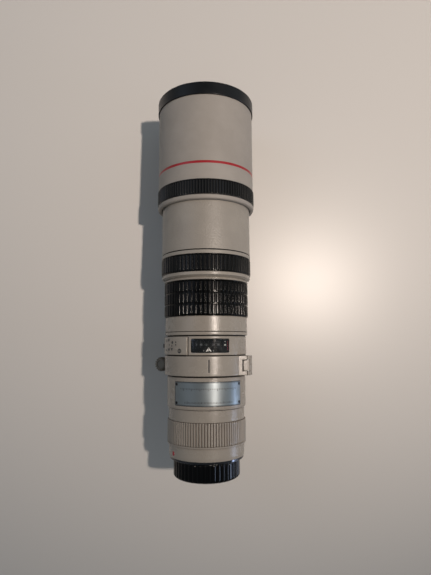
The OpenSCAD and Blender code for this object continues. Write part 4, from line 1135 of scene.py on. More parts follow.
@dataclass
class Hood(Assembly):
    """Draw-out hood: tube with a red line and a flock lining, ribbed ring and dark rim."""

    rear: float = 218.5
    front: float = 323.5
    tube: float = 44.0
    wall: float = 1.2
    lining: float = 0.5
    mouth: float = 40.95
    lip: float = 44.5
    ring_rear: float = 222.3
    ring_length: float = 13.7
    ring_top: float = 44.65
    line_rear: float = 249.9
    line_width: float = 2.2
    line_depth: float = 0.2
    rim: float = 45.0
    rim_length: float = 11.5
    ribs: int = 110
    rib_height: float = 0.6
    ring_end: float = 0.8
    rim_lap: float = 3.0
    roll: float = 2.2
    lining_rear: float = 21.5

    def build(self) -> None:
        """Build the hood's pieces."""
        self.tube_piece()
        self.ring_piece()
        self.rim_piece()

    def tube_piece(self) -> None:
        """Enamelled tube, rolled lip at its rear, red line in a shallow groove, flocked inside."""
        bore = self.tube - self.wall
        line, line_end, deep = self.line_rear, self.line_rear + self.line_width, self.tube - self.line_depth
        rim_rear = self.front - self.rim_length
        tube = lathe(
            "hood_shell",
            [
                (self.rear, self.mouth, EASED), (self.rear, self.lip - 1.9, 0.6),
                (self.rear + 0.6, self.lip - 0.5, 1.0), (self.rear + self.roll, self.lip, 1.5),
                (self.ring_rear - 0.35, self.lip, EASED), (self.ring_rear - 0.35, self.tube, SHARP),
                (line, self.tube, 0.08), (line, deep, 0.04), (line_end, deep, 0.04),
                (line_end, self.tube, 0.08), (rim_rear - 0.5, self.tube, 0.15),
                (rim_rear - 0.5, self.tube - 0.3, SHARP), (rim_rear + 0.2, self.tube - 0.3, SHARP),
                (rim_rear + 0.2, self.tube, SHARP), (self.front - self.rim_lap, self.tube, CRISP),
                (self.front - self.rim_lap, bore, CRISP), (self.rear + 1.8, bore, EASED),
                (self.rear + 1.8, self.mouth, EASED),
            ],
        )
        self.place(tube, "hood", MATT_ENAMEL, stands_for=["hood_tube"])
        red = lathe(
            "hood_red_line",
            section((line + HAIR, line_end - HAIR), (deep - 0.01, self.tube - 0.06), 0.02, 0.03),
        )
        self.place(red, "hood", RED_LINE)
        lining = lathe(
            "hood_lining",
            [
                (self.rear + self.lining_rear, bore, CRISP),
                (self.rear + self.lining_rear, bore - self.lining, BROKEN),
                (self.front - self.rim_lap, bore - self.lining, CRISP),
                (self.front - self.rim_lap, bore, CRISP),
            ],
        )
        self.place(lining, "hood", FLOCK)

    def ring_piece(self) -> None:
        """Moulded ring with fine ribs between two plain ends."""
        rear, front = self.ring_rear, self.ring_rear + self.ring_length
        foot, plain = self.ring_top - self.rib_height, self.ring_top - 0.08
        wide = np.pi * self.ring_top / self.ribs
        ring = lathe(
            "hood_grip",
            [
                (rear, self.tube + HAIR, SHARP), (rear, plain, 0.25),
                (rear + self.ring_end, plain, CRISP), *rib_end(rear + 0.95, 1, foot, wide),
                *rib_end(front - 0.95, -1, foot, wide), (front - self.ring_end, plain, CRISP),
                (front, plain, 0.25), (front, self.tube + HAIR, SHARP),
            ],
            Ribs(self.ribs, self.rib_height, 0.3, 0.7),
            steps=3,
        )
        self.place(ring, "hood", HOOD_RUBBER, stands_for=["hood_ring"])

    def rim_piece(self) -> None:
        """Satin rim with a rolled front edge."""
        rear, bore = self.front - self.rim_length, self.tube - self.wall - self.lining
        rim = lathe(
            "hood_rim_band",
            [
                (rear, self.tube + HAIR, CRISP), (rear, self.rim, ROUND), (self.front, self.rim, 1.3),
                (self.front, bore, 1.1), (self.front - 2.95, bore, CRISP),
                (self.front - 2.95, self.tube + HAIR, CRISP),
            ],
            steps=6,
        )
        self.place(rim, "hood", RIM_ABS, stands_for=["hood_rim"])


@dataclass
class FrontBarrel(Assembly):
    """Front barrel with its dark groove, the ribbed holding ring, stepped band and filter ring."""

    step: float = 151.0
    hold: float = 157.4
    band: float = 172.6
    tube_rear: float = 176.5
    front: float = 256.5
    radius: float = 40.25
    bore: float = 38.598
    inner: float = 31.2
    seat: float = 39.578
    sleeve: float = 35.3
    focus: float = 37.8
    hold_top: float = 40.65
    hold_ribs: int = 67
    filter_bore: float = 38.5
    glass: float = 37.0
    pitch: float = 0.75
    thread_depth: float = 0.4
    crests: int = 6
    rise: float = 0.25
    gap: float = 0.9
    gap_depth: float = 0.6
    rib_height: float = 0.72
    ring_len: float = 6.0
    tongue: float = 3.5

    def build(self) -> None:
        """Build the front pieces that stand still."""
        self.barrel_piece()
        self.hold_piece()
        self.step_piece()
        self.filter_piece()

    def barrel_piece(self) -> None:
        """Enamelled barrel with a raised band, a groove and a fine bead ahead of it."""
        r, top = self.radius, self.radius + self.rise
        barrel = lathe(
            "front_barrel_shell",
            [
                (self.hold, self.inner, CRISP), (self.hold, self.seat, CRISP),
                (self.band, self.seat, SHARP), (self.band, top, EASED),
                (self.tube_rear - self.gap, top, 0.4),
                (self.tube_rear - self.gap, r - self.gap_depth, SHARP),
                (self.tube_rear, r - self.gap_depth, SHARP), (self.tube_rear, r, EASED),
                (self.front - self.ring_len, r, 0.15),
                (self.front - self.ring_len, self.bore + 0.7, CRISP),
                (self.front - self.ring_len - self.tongue, self.bore + 0.7, CRISP),
                (self.front - self.ring_len - self.tongue, self.bore, CRISP),
                (self.hold + 2.0, self.bore, BROKEN), (self.hold + 2.0, self.inner, CRISP),
            ],
        )
        self.place(barrel, "barrel", DULL_ENAMEL, stands_for=["front_barrel"])
        # Dark ring of painted shade in the groove at the front tube's rear end.
        self.joint("front_barrel_joint_shade", self.tube_rear - 0.88, self.tube_rear - HAIR, r - 0.58, r - 0.3)

    def hold_piece(self) -> None:
        """Moulded holding ring with one row of round-ended ribs."""
        rear, front = self.hold, self.band
        foot, plain = self.hold_top - self.rib_height, self.hold_top - 0.14
        wide = 0.55 * 2 * np.pi * self.hold_top / self.hold_ribs
        ring = lathe(
            "holding_ring_ribs",
            [
                (rear + HAIR, self.seat, SHARP), (rear + HAIR, plain, EASED),
                (rear + 0.7, plain, BROKEN), *rib_end(rear + 0.85, 1, foot, wide),
                *rib_end(front - 0.85, -1, foot, wide), (front - 0.7, plain, BROKEN),
                (front - HAIR, plain, EASED), (front - HAIR, self.seat, SHARP),
            ],
            Ribs(self.hold_ribs, self.rib_height, 0.5, 0.74, 0.08),
            steps=3,
        )
        self.place(ring, "barrel", HOLD_RUBBER, stands_for=["hold_ring"])

    def step_piece(self) -> None:
        """Enamelled band: broad shoulder, hollow cone, waist and bead next to the focusing ring."""
        wide = self.radius - 0.22
        band = lathe(
            "stepped_band",
            [
                (self.step, self.sleeve, SHARP), (self.step, self.focus + 0.2, ROUND),
                (self.step + 1.1, self.focus + 0.2, 0.45), (self.step + 1.25, self.focus - 1.3, EASED),
                (self.step + 1.9, self.focus - 1.4, 0.7), (self.step + 3.5, wide - 0.7, 0.6),
                (self.step + 3.6, wide, ROUND), (self.hold, wide, 0.4), (self.hold, self.sleeve, SHARP),
            ],
            steps=5,
        )
        self.place(band, "barrel", ENAMEL, stands_for=["step_band"])

    def filter_piece(self) -> None:
        """Anodised ring with the crests of the filter thread in its bore."""
        crests: list[tuple[float, ...]] = []
        for turn in range(self.crests):
            at = self.front - 0.9 - turn * self.pitch
            crests += [
                (at + 0.28, self.filter_bore, 0.0),
                (at + 0.06, self.filter_bore - self.thread_depth, 0.0),
                (at - 0.06, self.filter_bore - self.thread_depth, 0.0),
                (at - 0.28, self.filter_bore, 0.0),
            ]
        rear = self.front - self.ring_len
        ring = lathe(
            "threaded_filter_ring",
            [
                (rear - self.tongue, self.glass, CRISP), (rear - self.tongue, self.bore + 0.68, CRISP),
                (rear + HAIR, self.bore + 0.68, SHARP), (rear + HAIR, self.radius, CRISP),
                (self.front, self.radius, 0.45), (self.front, self.filter_bore, EASED), *crests,
                (self.front - 5.5, self.filter_bore, CRISP), (self.front - 5.5, self.glass, CRISP),
            ],
            sides=240,
            steps=3,
        )
        self.place(ring, "barrel", ANODISED, stands_for=["filter_ring"])


@dataclass
class FocusRing(Assembly):
    """Rubber of the focusing ring: three rows of round-ended ribs."""

    rear: float = 120.5
    front: float = 150.7
    top: float = 37.8
    bore: float = 36.62
    ribs: int = 60
    rows: int = 3
    gap: float = 0.7
    end: float = 0.7
    rib_height: float = 0.8

    def build(self) -> None:
        """Build the rubber as one moulding."""
        foot, plain = self.top - self.rib_height, self.top - 0.18
        wide = 0.56 * 2 * np.pi * self.top / self.ribs
        row = (self.front - self.rear - 2 * self.end - (self.rows - 1) * self.gap) / self.rows
        corners: list[tuple[float, ...]] = [
            (self.rear, self.bore, SHARP), (self.rear, plain, 0.35),
            (self.rear + self.end - 0.15, plain, BROKEN),
        ]
        for k in range(self.rows):
            start = self.rear + self.end + k * (row + self.gap)
            corners += rib_end(start, 1, foot, wide) + rib_end(start + row, -1, foot, wide)
        corners += [
            (self.front - self.end + 0.15, plain, BROKEN), (self.front, plain, 0.35),
            (self.front, self.bore, SHARP),
        ]
        ring = lathe("focusing_rubber", corners, Ribs(self.ribs, self.rib_height, 0.5, 0.74, 0.08), steps=3)
        self.place(ring, "focus_ring", FOCUS_RUBBER, stands_for=["focus_rubber"])


@dataclass
class MiddleBarrel(Assembly):
    """Fixed band behind the focusing ring, the window band, its window and the switch panel."""

    window_rear: float = 87.6
    window_front: float = 103.4
    mid: float = 104.4
    focus: float = 120.2
    hold: float = 157.4
    band: float = 36.9
    sleeve: float = 35.3
    motor: float = 35.08
    window_top: float = 35.8
    bore: float = 34.4
    shoulder: float = 35.002
    cut_rear: float = 89.7
    cut_front: float = 101.3
    cut_left: float = -24.5
    cut_right: float = 29.5
    corner: float = 1.4
    panel_left: float = -118.0
    panel_right: float = -28.6
    panel_rise: float = 1.8
    drum: float = 34.1
    glass: float = 0.8
    glass_sink: float = 0.1
    index_along: float = 92.6
    groove_at: float = 2.6
    groove_depth: float = 0.5
    lip: float = 2.4

    def build(self) -> None:
        """Build the bands, the window with its scale and the panel with its marks."""
        self.band_piece()
        self.window_pieces()
        self.scale_pieces()
        self.panel_pieces()

    def band_piece(self) -> None:
        """Enamelled band with a fine groove near its rear, and the sleeve of the focusing ring."""
        groove = self.mid + self.groove_at
        band = lathe(
            "middle_barrel_shell",
            [
                (self.mid, self.bore, CRISP), (self.mid, self.band, 0.7), (groove, self.band, 0.25),
                (groove + 0.1, self.band - self.groove_depth, CRISP),
                (groove + 0.5, self.band - self.groove_depth, CRISP), (groove + 0.6, self.band, EASED),
                (self.focus, self.band, 0.45), (self.focus, self.sleeve, CRISP),
                (self.hold, self.sleeve, CRISP), (self.hold, self.sleeve - 1.4, CRISP),
                (self.focus - self.lip, self.sleeve - 1.4, CRISP),
                (self.focus - self.lip, self.motor, CRISP), (self.mid + 0.6, self.motor, CRISP),
                (self.mid + 0.6, self.bore, CRISP),
            ],
        )
        self.place(band, "barrel", ENAMEL, stands_for=["middle_barrel"])
        # Dark ring of painted shade in the fine groove.
        self.joint("middle_barrel_joint_shade", groove + 0.12, groove + 0.48, self.band - 0.6, self.band - 0.3)

    def window_pieces(self) -> None:
        """Window band with its opening, the relief ahead of it in painted shade, the clear window and its
        mask.
        """
        cut = Opening(self.cut_rear, self.cut_front, self.corner, ((self.cut_left, self.cut_right),))
        ends = (self.window_rear, self.window_front)
        self.place(
            pierced("window_band", ends, (self.bore, self.window_top), cut, ease=0.5, bevel=0.25),
            "barrel", ENAMEL, stands_for=["window_barrel"],
        )
        # The relief ahead of the window band is a dark ring of painted shade.
        relief = lathe(
            "window_band_relief_shade",
            [
                (self.window_front - 0.3, self.bore, 0.02),
                (self.window_front - 0.3, self.shoulder, 0.02), (self.mid, self.shoulder, SHARP),
                (self.mid, self.bore, SHARP),
            ],
        )
        self.place(relief, "barrel", PAINTED_SHADE)
        glass_top = self.window_top - self.glass_sink
        glass_low = self.window_top - self.glass_sink - self.glass
        glass = strip(
            "scale_window",
            section((self.cut_rear + 0.05, self.cut_front - 0.05), (glass_low, glass_top), 0.02, 0.12),
            self.cut_left + 0.08, self.cut_right - 0.08, 0.1, self.corner, steps=4,
        )
        self.place(glass, "barrel", WINDOW, stands_for=["window_glass"])
        mask_top = glass_low - 0.03
        view = Opening(94.1, 100.4, 0.5, ((self.cut_left + 1.9, 19.5),))
        mask = pierced(
            "window_mask", (self.cut_rear + 0.1, self.cut_front - 0.1), (mask_top - 0.2, mask_top), view,
            span=(self.cut_left + 0.2, self.cut_right - 0.2), ease=0.05, bevel=0.05,
        )
        self.place(mask, "barrel", MASK)

    def scale_pieces(self) -> None:
        """Distance numbers on the drum, and the index marks on the window."""
        metres = Marks("distance_numbers")
        line, size, ticks = 96.3, 2.3, 98.6
        for words, at in (
            ("3.5", -66.0), ("4", -55.0), ("5", -44.0), ("6", -33.0), ("8", -17.0), ("10", -10.5),
            ("15", -4.0), ("20", 6.5), ("30", 13.5),
        ):
            metres.text(words, size, at, line, self.drum)
        for at in (32.0, 34.3):
            metres.ring(0.68, 0.42, at, line, self.drum)
        for at in np.arange(-66.0, 34.0, 5.5):
            metres.bar(0.16, 0.8, at, ticks, self.drum)
        # The numbers' grey ink is painted shade, for the dimness under the window.
        self.place(metres.build(), "cam_tube", SHADED_INK)
        index = Marks("window_index")
        top = self.window_top - self.glass_sink
        index.shape([(0, 1.5), (-0.5, 0.8), (0.5, 0.8)], 0.0, self.index_along, top)
        for side in (-1, 1):
            wing = [(0.55, 0.5), (0.12, 0.1), (1.25, -1.8), (2.4, -1.8)]
            index.shape([(side * x, y) for x, y in wing], 0.0, self.index_along, top)
        index.bar(0.5, 0.7, 0.0, 91.4, top)
        for at in (-6.5, 6.5):
            index.bar(0.22, 0.9, at, 91.3, top)
        index.text("m", 1.9, 22.8, 96.2, top)
        index.bar(0.5, 0.5, 22.8, 98.9, top)
        self.place(index.build(), "barrel", WHITE_INK)
        red = Marks("infrared_marks")
        for k in range(5):
            red.bar(0.3, 0.8, 26.9, 92.3 + 1.55 * k, top)
        self.place(red.build(), "barrel", RED_INK)

    def panel_pieces(self) -> None:
        """Raised panel with the two slider slots and its dark marks."""
        top = self.window_top + self.panel_rise
        cut = Opening(93.4, 97.6, 0.6, ((-117.0, -103.0), (-101.0, -87.0)))
        panel = pierced(
            "switch_panel_plate", (self.window_rear + 0.35, self.window_front - 0.45),
            (self.window_top - 0.1, top), cut,
            span=(self.panel_left - 1.2, self.panel_right), ease=0.55, bevel=0.15,
        )
        self.place(panel, "barrel", ENAMEL, stands_for=["switch_panel"])
        # Dark strip of painted shade round the panel's edge.
        rim = strip(
            "switch_panel_edge_shade",
            section(
                (self.window_rear + 0.2, self.window_front - 0.4),
                (self.window_top - 0.1, self.window_top + 0.05),
            ),
            self.panel_left - 1.6, self.panel_right + 0.9, 0.05,
        )
        self.place(rim, "barrel", PAINTED_SHADE)
        floor = strip(
            "slider_bed",
            section((92.6, 98.4), (self.window_top - 0.05, self.window_top + 0.3), SHARP, CRISP),
            -117.5, -86.0, 0.1,
        )
        self.place(floor, "barrel", BLACK_ABS)
        marks = Marks("switch_marks")
        marks.ring(1.25, 0.05, -53.5, 98.4, top)
        marks.text("AF", 3.1, -62.5, 100.2, top)
        marks.text("MF", 3.1, -62.0, 92.2, top)
        marks.shape([(0, -1.7), (-1.8, 1.3), (-0.6, 1.0), (0.6, 1.0), (1.8, 1.3)], -54.5, 92.6, top)
        marks.ring(1.9, 1.05, -40.0, 91.2, top)
        marks.bar(0.6, 3.4, -40.0, 91.2, top)
        for at, along in ((-46.5, 98.6), (-46.5, 96.4), (-60.5, 96.4), (-54.5, 95.5)):
            marks.bar(1.2, 1.2, at, along, top)
        marks.text("3.5", 2.3, -71.0, 99.6, top)
        marks.text("8.5", 2.3, -71.0, 92.0, top)
        for at in (-84.5, -119.5):
            marks.bar(0.3, 1.6, at, 95.5, top)
        self.place(marks.build(), "barrel", BLACK_INK)


@dataclass
class Collar(Assembly):
    """Upper half of the tripod collar with its index line, hinge ears and lug, and the clamp knob."""

    rear: float = 70.4
    width: float = 16.5
    bore: float = 33.5
    top: float = 37.05
    hinge: float = 57.0
    hinge_r: float = 40.6
    ear: float = 3.5
    lug_r: float = 43.85
    knob: float = 6.5
    knob_height: float = 6.0
    knob_ribs: int = 16
    knob_rib: float = 1.1
    neck_share: float = 0.62
    lug_low: float = 0.5
    lug_high: float = 3.5
    lug_half: float = 5.5
    lug_foot: float = 35.6
    lug_round: float = 4.8
    line_half: float = 5.2
    level_rise: float = 3.2

    def build(self) -> None:
        """Build the upper half and the knob."""
        self.half_piece()
        self.hinge_pieces()
        self.knob_piece()

    def half_piece(self) -> None:
        """Half ring with the index line cut through the enamel and filled black."""
        mid = self.rear + self.width / 2
        line = Opening(mid - self.line_half, mid + self.line_half, 0.3, ((-0.8, 0.8),))
        ring = pierced(
            "collar_upper_half", (self.rear, self.rear + self.width), (self.bore, self.top), line,
            span=(self.hinge - 180 + 0.9, self.hinge - 0.4), ease=0.6, bevel=0.12,
        )
        self.place(ring, "collar_upper", ENAMEL, stands_for=["collar_upper"])
        fill = strip(
            "collar_index_fill",
            section((mid - 6, mid + 6), (self.bore + 0.1, self.top - 0.3)),
            -1.5, 1.5, 0.1,
        )
        self.place(fill, "collar_upper", BLACK_INK)

    def hinge_pieces(self) -> None:
        """Two ears, their shoulder and the tongue between them, and the lug of the clamp screw.

        The outlines are seen along the lens: right and up from the axis, round the hinge pin.
        """
        a = np.radians(self.hinge)
        x, z = self.hinge_r * np.sin(a), self.hinge_r * np.cos(a)
        stand = Stand(np.zeros(3), np.array([[1.0, 0.0, 0.0], [0.0, 0.0, 1.0], [0.0, 1.0, 0.0]]))
        low, high = self.rear + self.ear, self.rear + self.width - self.ear
        level = z + self.level_rise
        ear = [
            (x - 10.6, level + 0.1, 0.0), (x - 8.2, level + 0.9, 1.2), (x - 6.9, level + 0.75, ROUND),
            (x - 1.0, level, EASED), (x - 1.0, level - 1.1, 0.0), (x - 0.45, level - 1.1, 0.0),
            (x - 0.45, level, EASED), (x + 1.5, level - 0.4, 1.0), (x + 2.7, z + 0.2, 1.6),
            (x + 0.9, z - 2.4, 1.0), (x - 2.6, z - 2.2, ROUND), (x - 9.6, z - 0.4, 0.0),
        ]
        shoulder = [
            (x - 10.6, level + 0.1, 0.0), (x - 8.2, level + 0.9, 1.2), (x - 4.9, level + 0.55, EASED),
            (x - 4.9, z - 1.0, 0.0), (x - 9.6, z - 0.4, 0.0),
        ]
        floor = [
            (x - 6.0, level - 0.8, 0.0), (x - 3.1, level - 0.8, 0.0),
            (x - 3.1, z - 2.2, 0.0), (x - 6.0, z - 1.5, 0.0),
        ]
        tongue = [
            (x - 4.1, level + 0.3, 0.4), (x - 0.3, level + 0.05, CRISP), (x - 0.3, z + 3.0, 0.0),
            (x - 2.2, z + 2.6, 0.0), (x - 3.2, z, 0.0), (x - 3.2, z - 1.5, 0.0), (x - 4.1, z - 1.2, 0.0),
        ]
        for name, outline, start, end, ease, finish in (
            ("hinge_ear_rear", ear, self.rear, low, 0.4, ENAMEL),
            ("hinge_ear_front", ear, high, high + self.ear, 0.4, ENAMEL),
            ("hinge_shoulder", shoulder, low - 0.5, high + 0.5, 0.05, ENAMEL),
            # The dark bed round the tongue is painted shade in the hinge's gaps.
            ("hinge_notch_shade", floor, low - 0.3, high + 0.3, 0.02, PAINTED_SHADE),
            ("hinge_tongue", tongue, low + 0.55, high - 0.55, 0.12, ENAMEL),
        ):
            self.place(slab(name, rounded(outline, 6)[0], start, end, ease, stand), "collar_upper", finish)
        mid = self.rear + self.width / 2
        at = Stand.at_angle(self.hinge + 180.0, 0.0, mid)
        stand = Stand(at.origin, np.stack([at.axes[2], at.axes[1], at.axes[0]]))
        lug_end = self.lug_r + 4.4
        lug = rounded(
            [
                (self.lug_foot, -self.lug_half, 0.0), (lug_end, -self.lug_half, self.lug_round),
                (lug_end, self.lug_half, self.lug_round), (self.lug_foot, self.lug_half, 0.0),
            ],
            9,
        )[0]
        self.place(slab("clamp_lug", lug, self.lug_low, self.lug_high, 0.5, stand), "collar_upper", ENAMEL)

    def knob_piece(self) -> None:
        """Ridged knob with a turned face and a dished middle."""
        a = np.radians(self.hinge + 180.0)
        mid = self.rear + self.width / 2
        axis = (np.cos(a), 0.0, -np.sin(a))
        stand = Stand.on_axis((self.lug_r * np.sin(a), mid, self.lug_r * np.cos(a)), axis)
        low = self.lug_high + self.lug_low
        high = low + self.knob_height
        foot = self.knob - self.knob_rib
        wide = np.pi * self.knob / self.knob_ribs
        knob = lathe(
            "clamp_knob_ribs",
            [
                (low - 0.5, 2.2, CRISP), (low - 0.5, self.knob * self.neck_share, CRISP),
                (low, self.knob * self.neck_share, CRISP), (low, foot, BROKEN),
                *rib_end(low + 0.3, 1, foot, wide), (high - 1.0, foot, 0.0, 1.0),
                (high, foot - 1.2, 0.0, 1.0), (high, foot - 1.9, EASED), (high - 0.8, foot - 2.2, EASED),
                (high - 0.8, 0.05, 0.0), (low + 3.0, 0.05, 0.0), (low + 3.0, 2.2, CRISP),
            ],
            Ribs(self.knob_ribs, self.knob_rib, 0.34, 0.66, 0.06),
            steps=4,
            stand=stand,
        )
        self.place(knob, "clamp_knob", KNOB_PAINT, stands_for=["clamp_knob"])


@dataclass
class MainBarrel(Assembly):
    """Waist, beads and nameplate band, the bare nameplate and its pins."""

    waist_rear: float = 32.8
    band_rear: float = 43.0
    seat: float = 70.1
    shoulder: float = 87.2
    window: float = 87.6
    waist: float = 33.3
    band: float = 34.75
    seat_r: float = 33.2
    shoulder_r: float = 35.002
    bore: float = 31.5
    rear_bore: float = 30.996
    plate_half: float = 52.0
    plate_rear: float = 46.4
    plate_front: float = 65.6
    plate_rise: float = 0.3
    groove: float = 0.45
    tongue: float = 1.2
    tongue_len: float = 4.0
    gap: float = 0.9
    bed: float = 0.4
    pin: float = 0.75
    pin_head: float = 1.25
    pin_inset: float = 2.0
    ticks_each_side: int = 17

    def build(self) -> None:
        """Build the barrel and what is fixed on it."""
        self.barrel_piece()
        self.plate_pieces()

    def barrel_piece(self) -> None:
        """Enamelled barrel: waist, groove, bead, nameplate band, collar seat and shoulder."""
        rear, low = self.band_rear, self.band - 0.55
        tongue = self.rear_bore - self.tongue
        barrel = lathe(
            "main_barrel_shell",
            [
                (self.waist_rear - self.tongue_len, tongue, CRISP),
                (self.waist_rear - self.tongue_len, self.rear_bore, CRISP),
                (self.waist_rear, self.rear_bore, SHARP), (self.waist_rear, self.waist, 0.35),
                (rear - 0.5, self.waist, EASED), (rear - 0.45, self.waist - self.groove, CRISP),
                (rear, self.waist - self.groove, CRISP), (rear, low, 0.35), (rear + 1.0, low, 0.15),
                (rear + 1.05, self.band, 0.45), (self.seat - self.gap, self.band, 0.9),
                (self.seat - self.gap, self.seat_r, CRISP), (self.shoulder, self.seat_r, CRISP),
                (self.shoulder, self.shoulder_r, SHARP), (self.window, self.shoulder_r, SHARP),
                (self.window, self.bore, CRISP), (self.waist_rear + self.tongue_len, self.bore, CRISP),
                (self.waist_rear + self.tongue_len, tongue, CRISP),
            ],
        )
        self.place(barrel, "barrel", ENAMEL, stands_for=["main_barrel"])
        under = self.seat_r - 0.1
        # Dark rings of painted shade at the collar's rear and front and in the waist's groove.
        self.joint("collar_rear_joint_shade", self.seat - 0.85, self.seat + 0.2, under, self.band - 0.75)
        self.joint(
            "collar_front_joint_shade", self.shoulder - 0.2, self.window - HAIR, under, self.shoulder_r + 0.05
        )
        self.joint("waist_joint_shade", rear - 0.43, rear - HAIR, self.waist - 0.6, self.waist - 0.36)

    def plate_pieces(self) -> None:
        """Brushed plate with a fine border and ticks, held by four drive pins."""
        top = self.band + self.plate_rise
        plate = strip(
            "bare_nameplate",
            section((self.plate_rear, self.plate_front), (self.band - HAIR, top), 0.02, 0.12),
            -self.plate_half, self.plate_half, 0.1, 0.7, steps=4,
        )
        self.place(plate, "barrel", PLATE, stands_for=["nameplate"])
        # Dark border of painted shade round the plate.
        bed = strip(
            "nameplate_edge_shade",
            section(
                (self.plate_rear - self.bed, self.plate_front + self.bed),
                (self.band - 0.05, self.band + 0.03),
            ),
            -self.plate_half - 0.6, self.plate_half + 0.6, 0.02, 0.9,
        )
        self.place(bed, "barrel", PAINTED_SHADE)
        mid = (self.plate_rear + self.plate_front) / 2
        border = Marks("nameplate_border", 0.02)
        wide = np.radians(2 * self.plate_half) * top - 1.0
        for along in (self.plate_rear + 0.5, self.plate_front - 0.5):
            border.bar(wide, 0.3, 0.0, along, top)
        tall = self.plate_front - self.plate_rear - 1.2
        for side in (-1, 1):
            border.bar(0.3, tall, side * np.degrees(wide / 2 / top), mid, top)
        for k in range(-self.ticks_each_side, self.ticks_each_side + 1):
            upper, lower = (1.1, 0.8) if k % 5 else (2.0, 1.4)
            border.bar(0.4, upper, k * 2.4, self.plate_front - 5.4 - upper / 2 + 0.5, top)
            border.bar(0.36, lower, k * 2.0, self.plate_rear + 3.0, top)
        border.bar(np.radians(70) * top, 0.18, 0.0, self.plate_rear + 2.2, top)
        self.place(border.build(), "barrel", BLACK_INK)
        rows = (self.plate_rear + self.pin_inset, self.plate_front - self.pin_inset)
        for number, (side, along) in enumerate((side, along) for side in (-1, 1) for along in rows):
            angle = side * (self.plate_half - np.degrees(self.pin_inset / self.band))
            at = Stand.at_angle(angle, self.band - 0.3, along)
            stand = Stand.on_axis(at.origin, at.axes[2])
            pin = lathe(
                f"drive_pin_{number + 1}",
                [
                    (0.0, 0.03, 0.0), (0.0, self.pin, SHARP), (0.62, self.pin, 0.02),
                    (0.62, self.pin_head, SHARP), (0.8, 1.2, 0.15), (0.98, 0.4, 0.4), (1.0, 0.03, 0.0),
                ],
                sides=28, stand=stand,
            )
            self.place(pin, "barrel", DARK_STEEL, stands_for=["nameplate_rivets"] if number == 0 else ())


@dataclass
class RearBarrel(Assembly):
    """Plain rear section with the red dot, and the ribbed grip."""

    flange: float = 1.8
    grip: float = 12.3
    waist: float = 32.8
    rear: float = 32.95
    top: float = 34.35
    bore: float = 30.996
    throat: float = 24.0
    ribs: int = 90
    dot_angle: float = -61.5
    dot_along: float = 5.9
    dot: float = 1.85
    dot_sink: float = 0.4
    rib_height: float = 0.75
    step: float = 0.25
    flange_len: float = 1.8

    def build(self) -> None:
        """Build the grip, the plain rear end and the dot."""
        foot = self.top - self.rib_height
        wide = 0.66 * 2 * np.pi * self.top / self.ribs
        grip = lathe(
            "rear_grip",
            [
                (self.grip - 0.3, self.bore, SHARP), (self.grip - 0.3, self.rear - HAIR, SHARP),
                (self.grip, self.rear - HAIR, SHARP), (self.grip + 0.15, self.top - 0.12, 0.35),
                (self.grip + 1.5, self.top, EASED), *rib_end(self.grip + 1.7, 1, foot, wide),
                *rib_end(self.waist - 0.1, -1, foot, wide), (self.waist, foot - 0.05, 0.0),
                (self.waist, self.bore, SHARP),
            ],
            Ribs(self.ribs, self.rib_height, 0.56, 0.84, 0.05),
            steps=4,
        )
        self.place(grip, "barrel", GRIP_ENAMEL, stands_for=["rear_barrel"])
        end = lathe(
            "rear_end",
            [
                (self.flange + HAIR, self.throat + 0.4, SHARP),
                (self.flange + HAIR, self.rear - 0.6, 0.25), (self.flange + 0.5, self.rear - 0.3, 0.4),
                (self.flange + 2.5, self.rear, 0.8), (self.grip - self.step, self.rear, 0.15),
                (self.grip - self.step, self.bore, SHARP),
                (self.flange + self.flange_len, self.bore, CRISP),
                (self.flange + self.flange_len, self.throat + 0.4, SHARP),
            ],
        )
        self.place(end, "barrel", ENAMEL)
        at = Stand.at_angle(self.dot_angle, self.rear - self.dot_sink, self.dot_along)
        dot = lathe(
            "mount_index_dot",
            [
                (0.0, 0.04, 0.0), (0.0, self.dot, SHARP), (0.62, self.dot, EASED), (0.85, 1.0, 0.8),
                (0.9, 0.04, 0.0),
            ],
            sides=48, stand=Stand.on_axis(at.origin, at.axes[2]),
        )
        self.place(dot, "barrel", RED_GLOSS, stands_for=["mount_dot"])


@dataclass
class RearCap(Assembly):
    """Glossy ridged cap over the mount."""

    front: float = -0.3
    depth: float = 16.0
    top: float = 28.85
    bore: float = 27.1
    floor: float = 1.7
    ridges: int = 44
    tube: float = 25.4
    ridge: float = 0.5
    lip: float = 4.6
    lugs: int = 3
    lug_at: float = 20.0
    lug_turn: float = 40.0

    def build(self) -> None:
        """Build the cap and the lugs inside it."""
        rear, foot = self.front - self.depth, self.top - self.ridge
        wide = 0.62 * 2 * np.pi * self.top / self.ridges
        cap = lathe(
            "ridged_cap",
            [
                (rear + 0.5, 0.05, 0.0), (rear + 0.5, self.top - 5.2, BROKEN),
                (rear, self.top - self.lip, EASED), (rear, self.top - 2.2, ROUND),
                (rear + 0.7, self.top - 0.9, 0.6), *rib_end(rear + 1.4, 1, foot, wide),
                *rib_end(self.front - 0.9, -1, foot, wide), (self.front - 0.6, foot, CRISP),
                (self.front, foot, BROKEN), (self.front, self.bore, BROKEN),
                (rear + self.floor, self.bore, 0.4), (rear + self.floor, 0.05, 0.0),
            ],
            Ribs(self.ridges, self.ridge, 0.5, 0.8, 0.07),
            steps=4,
        )
        self.place(cap, "rear_cap", CAP_PLASTIC, stands_for=["rear_cap"])
        for k in range(self.lugs):
            middle = self.lug_at + (k + 0.5) * 360.0 / self.lugs
            lug = strip(
                f"cap_lug_{k + 1}",
                section(
                    (self.front - 1.8, self.front - 0.5), (self.tube + 0.3, self.bore + 0.3), CRISP, SHARP
                ),
                middle - self.lug_turn / 2, middle + self.lug_turn / 2, 0.2,
            )
            self.place(lug, "rear_cap", CAP_PLASTIC)


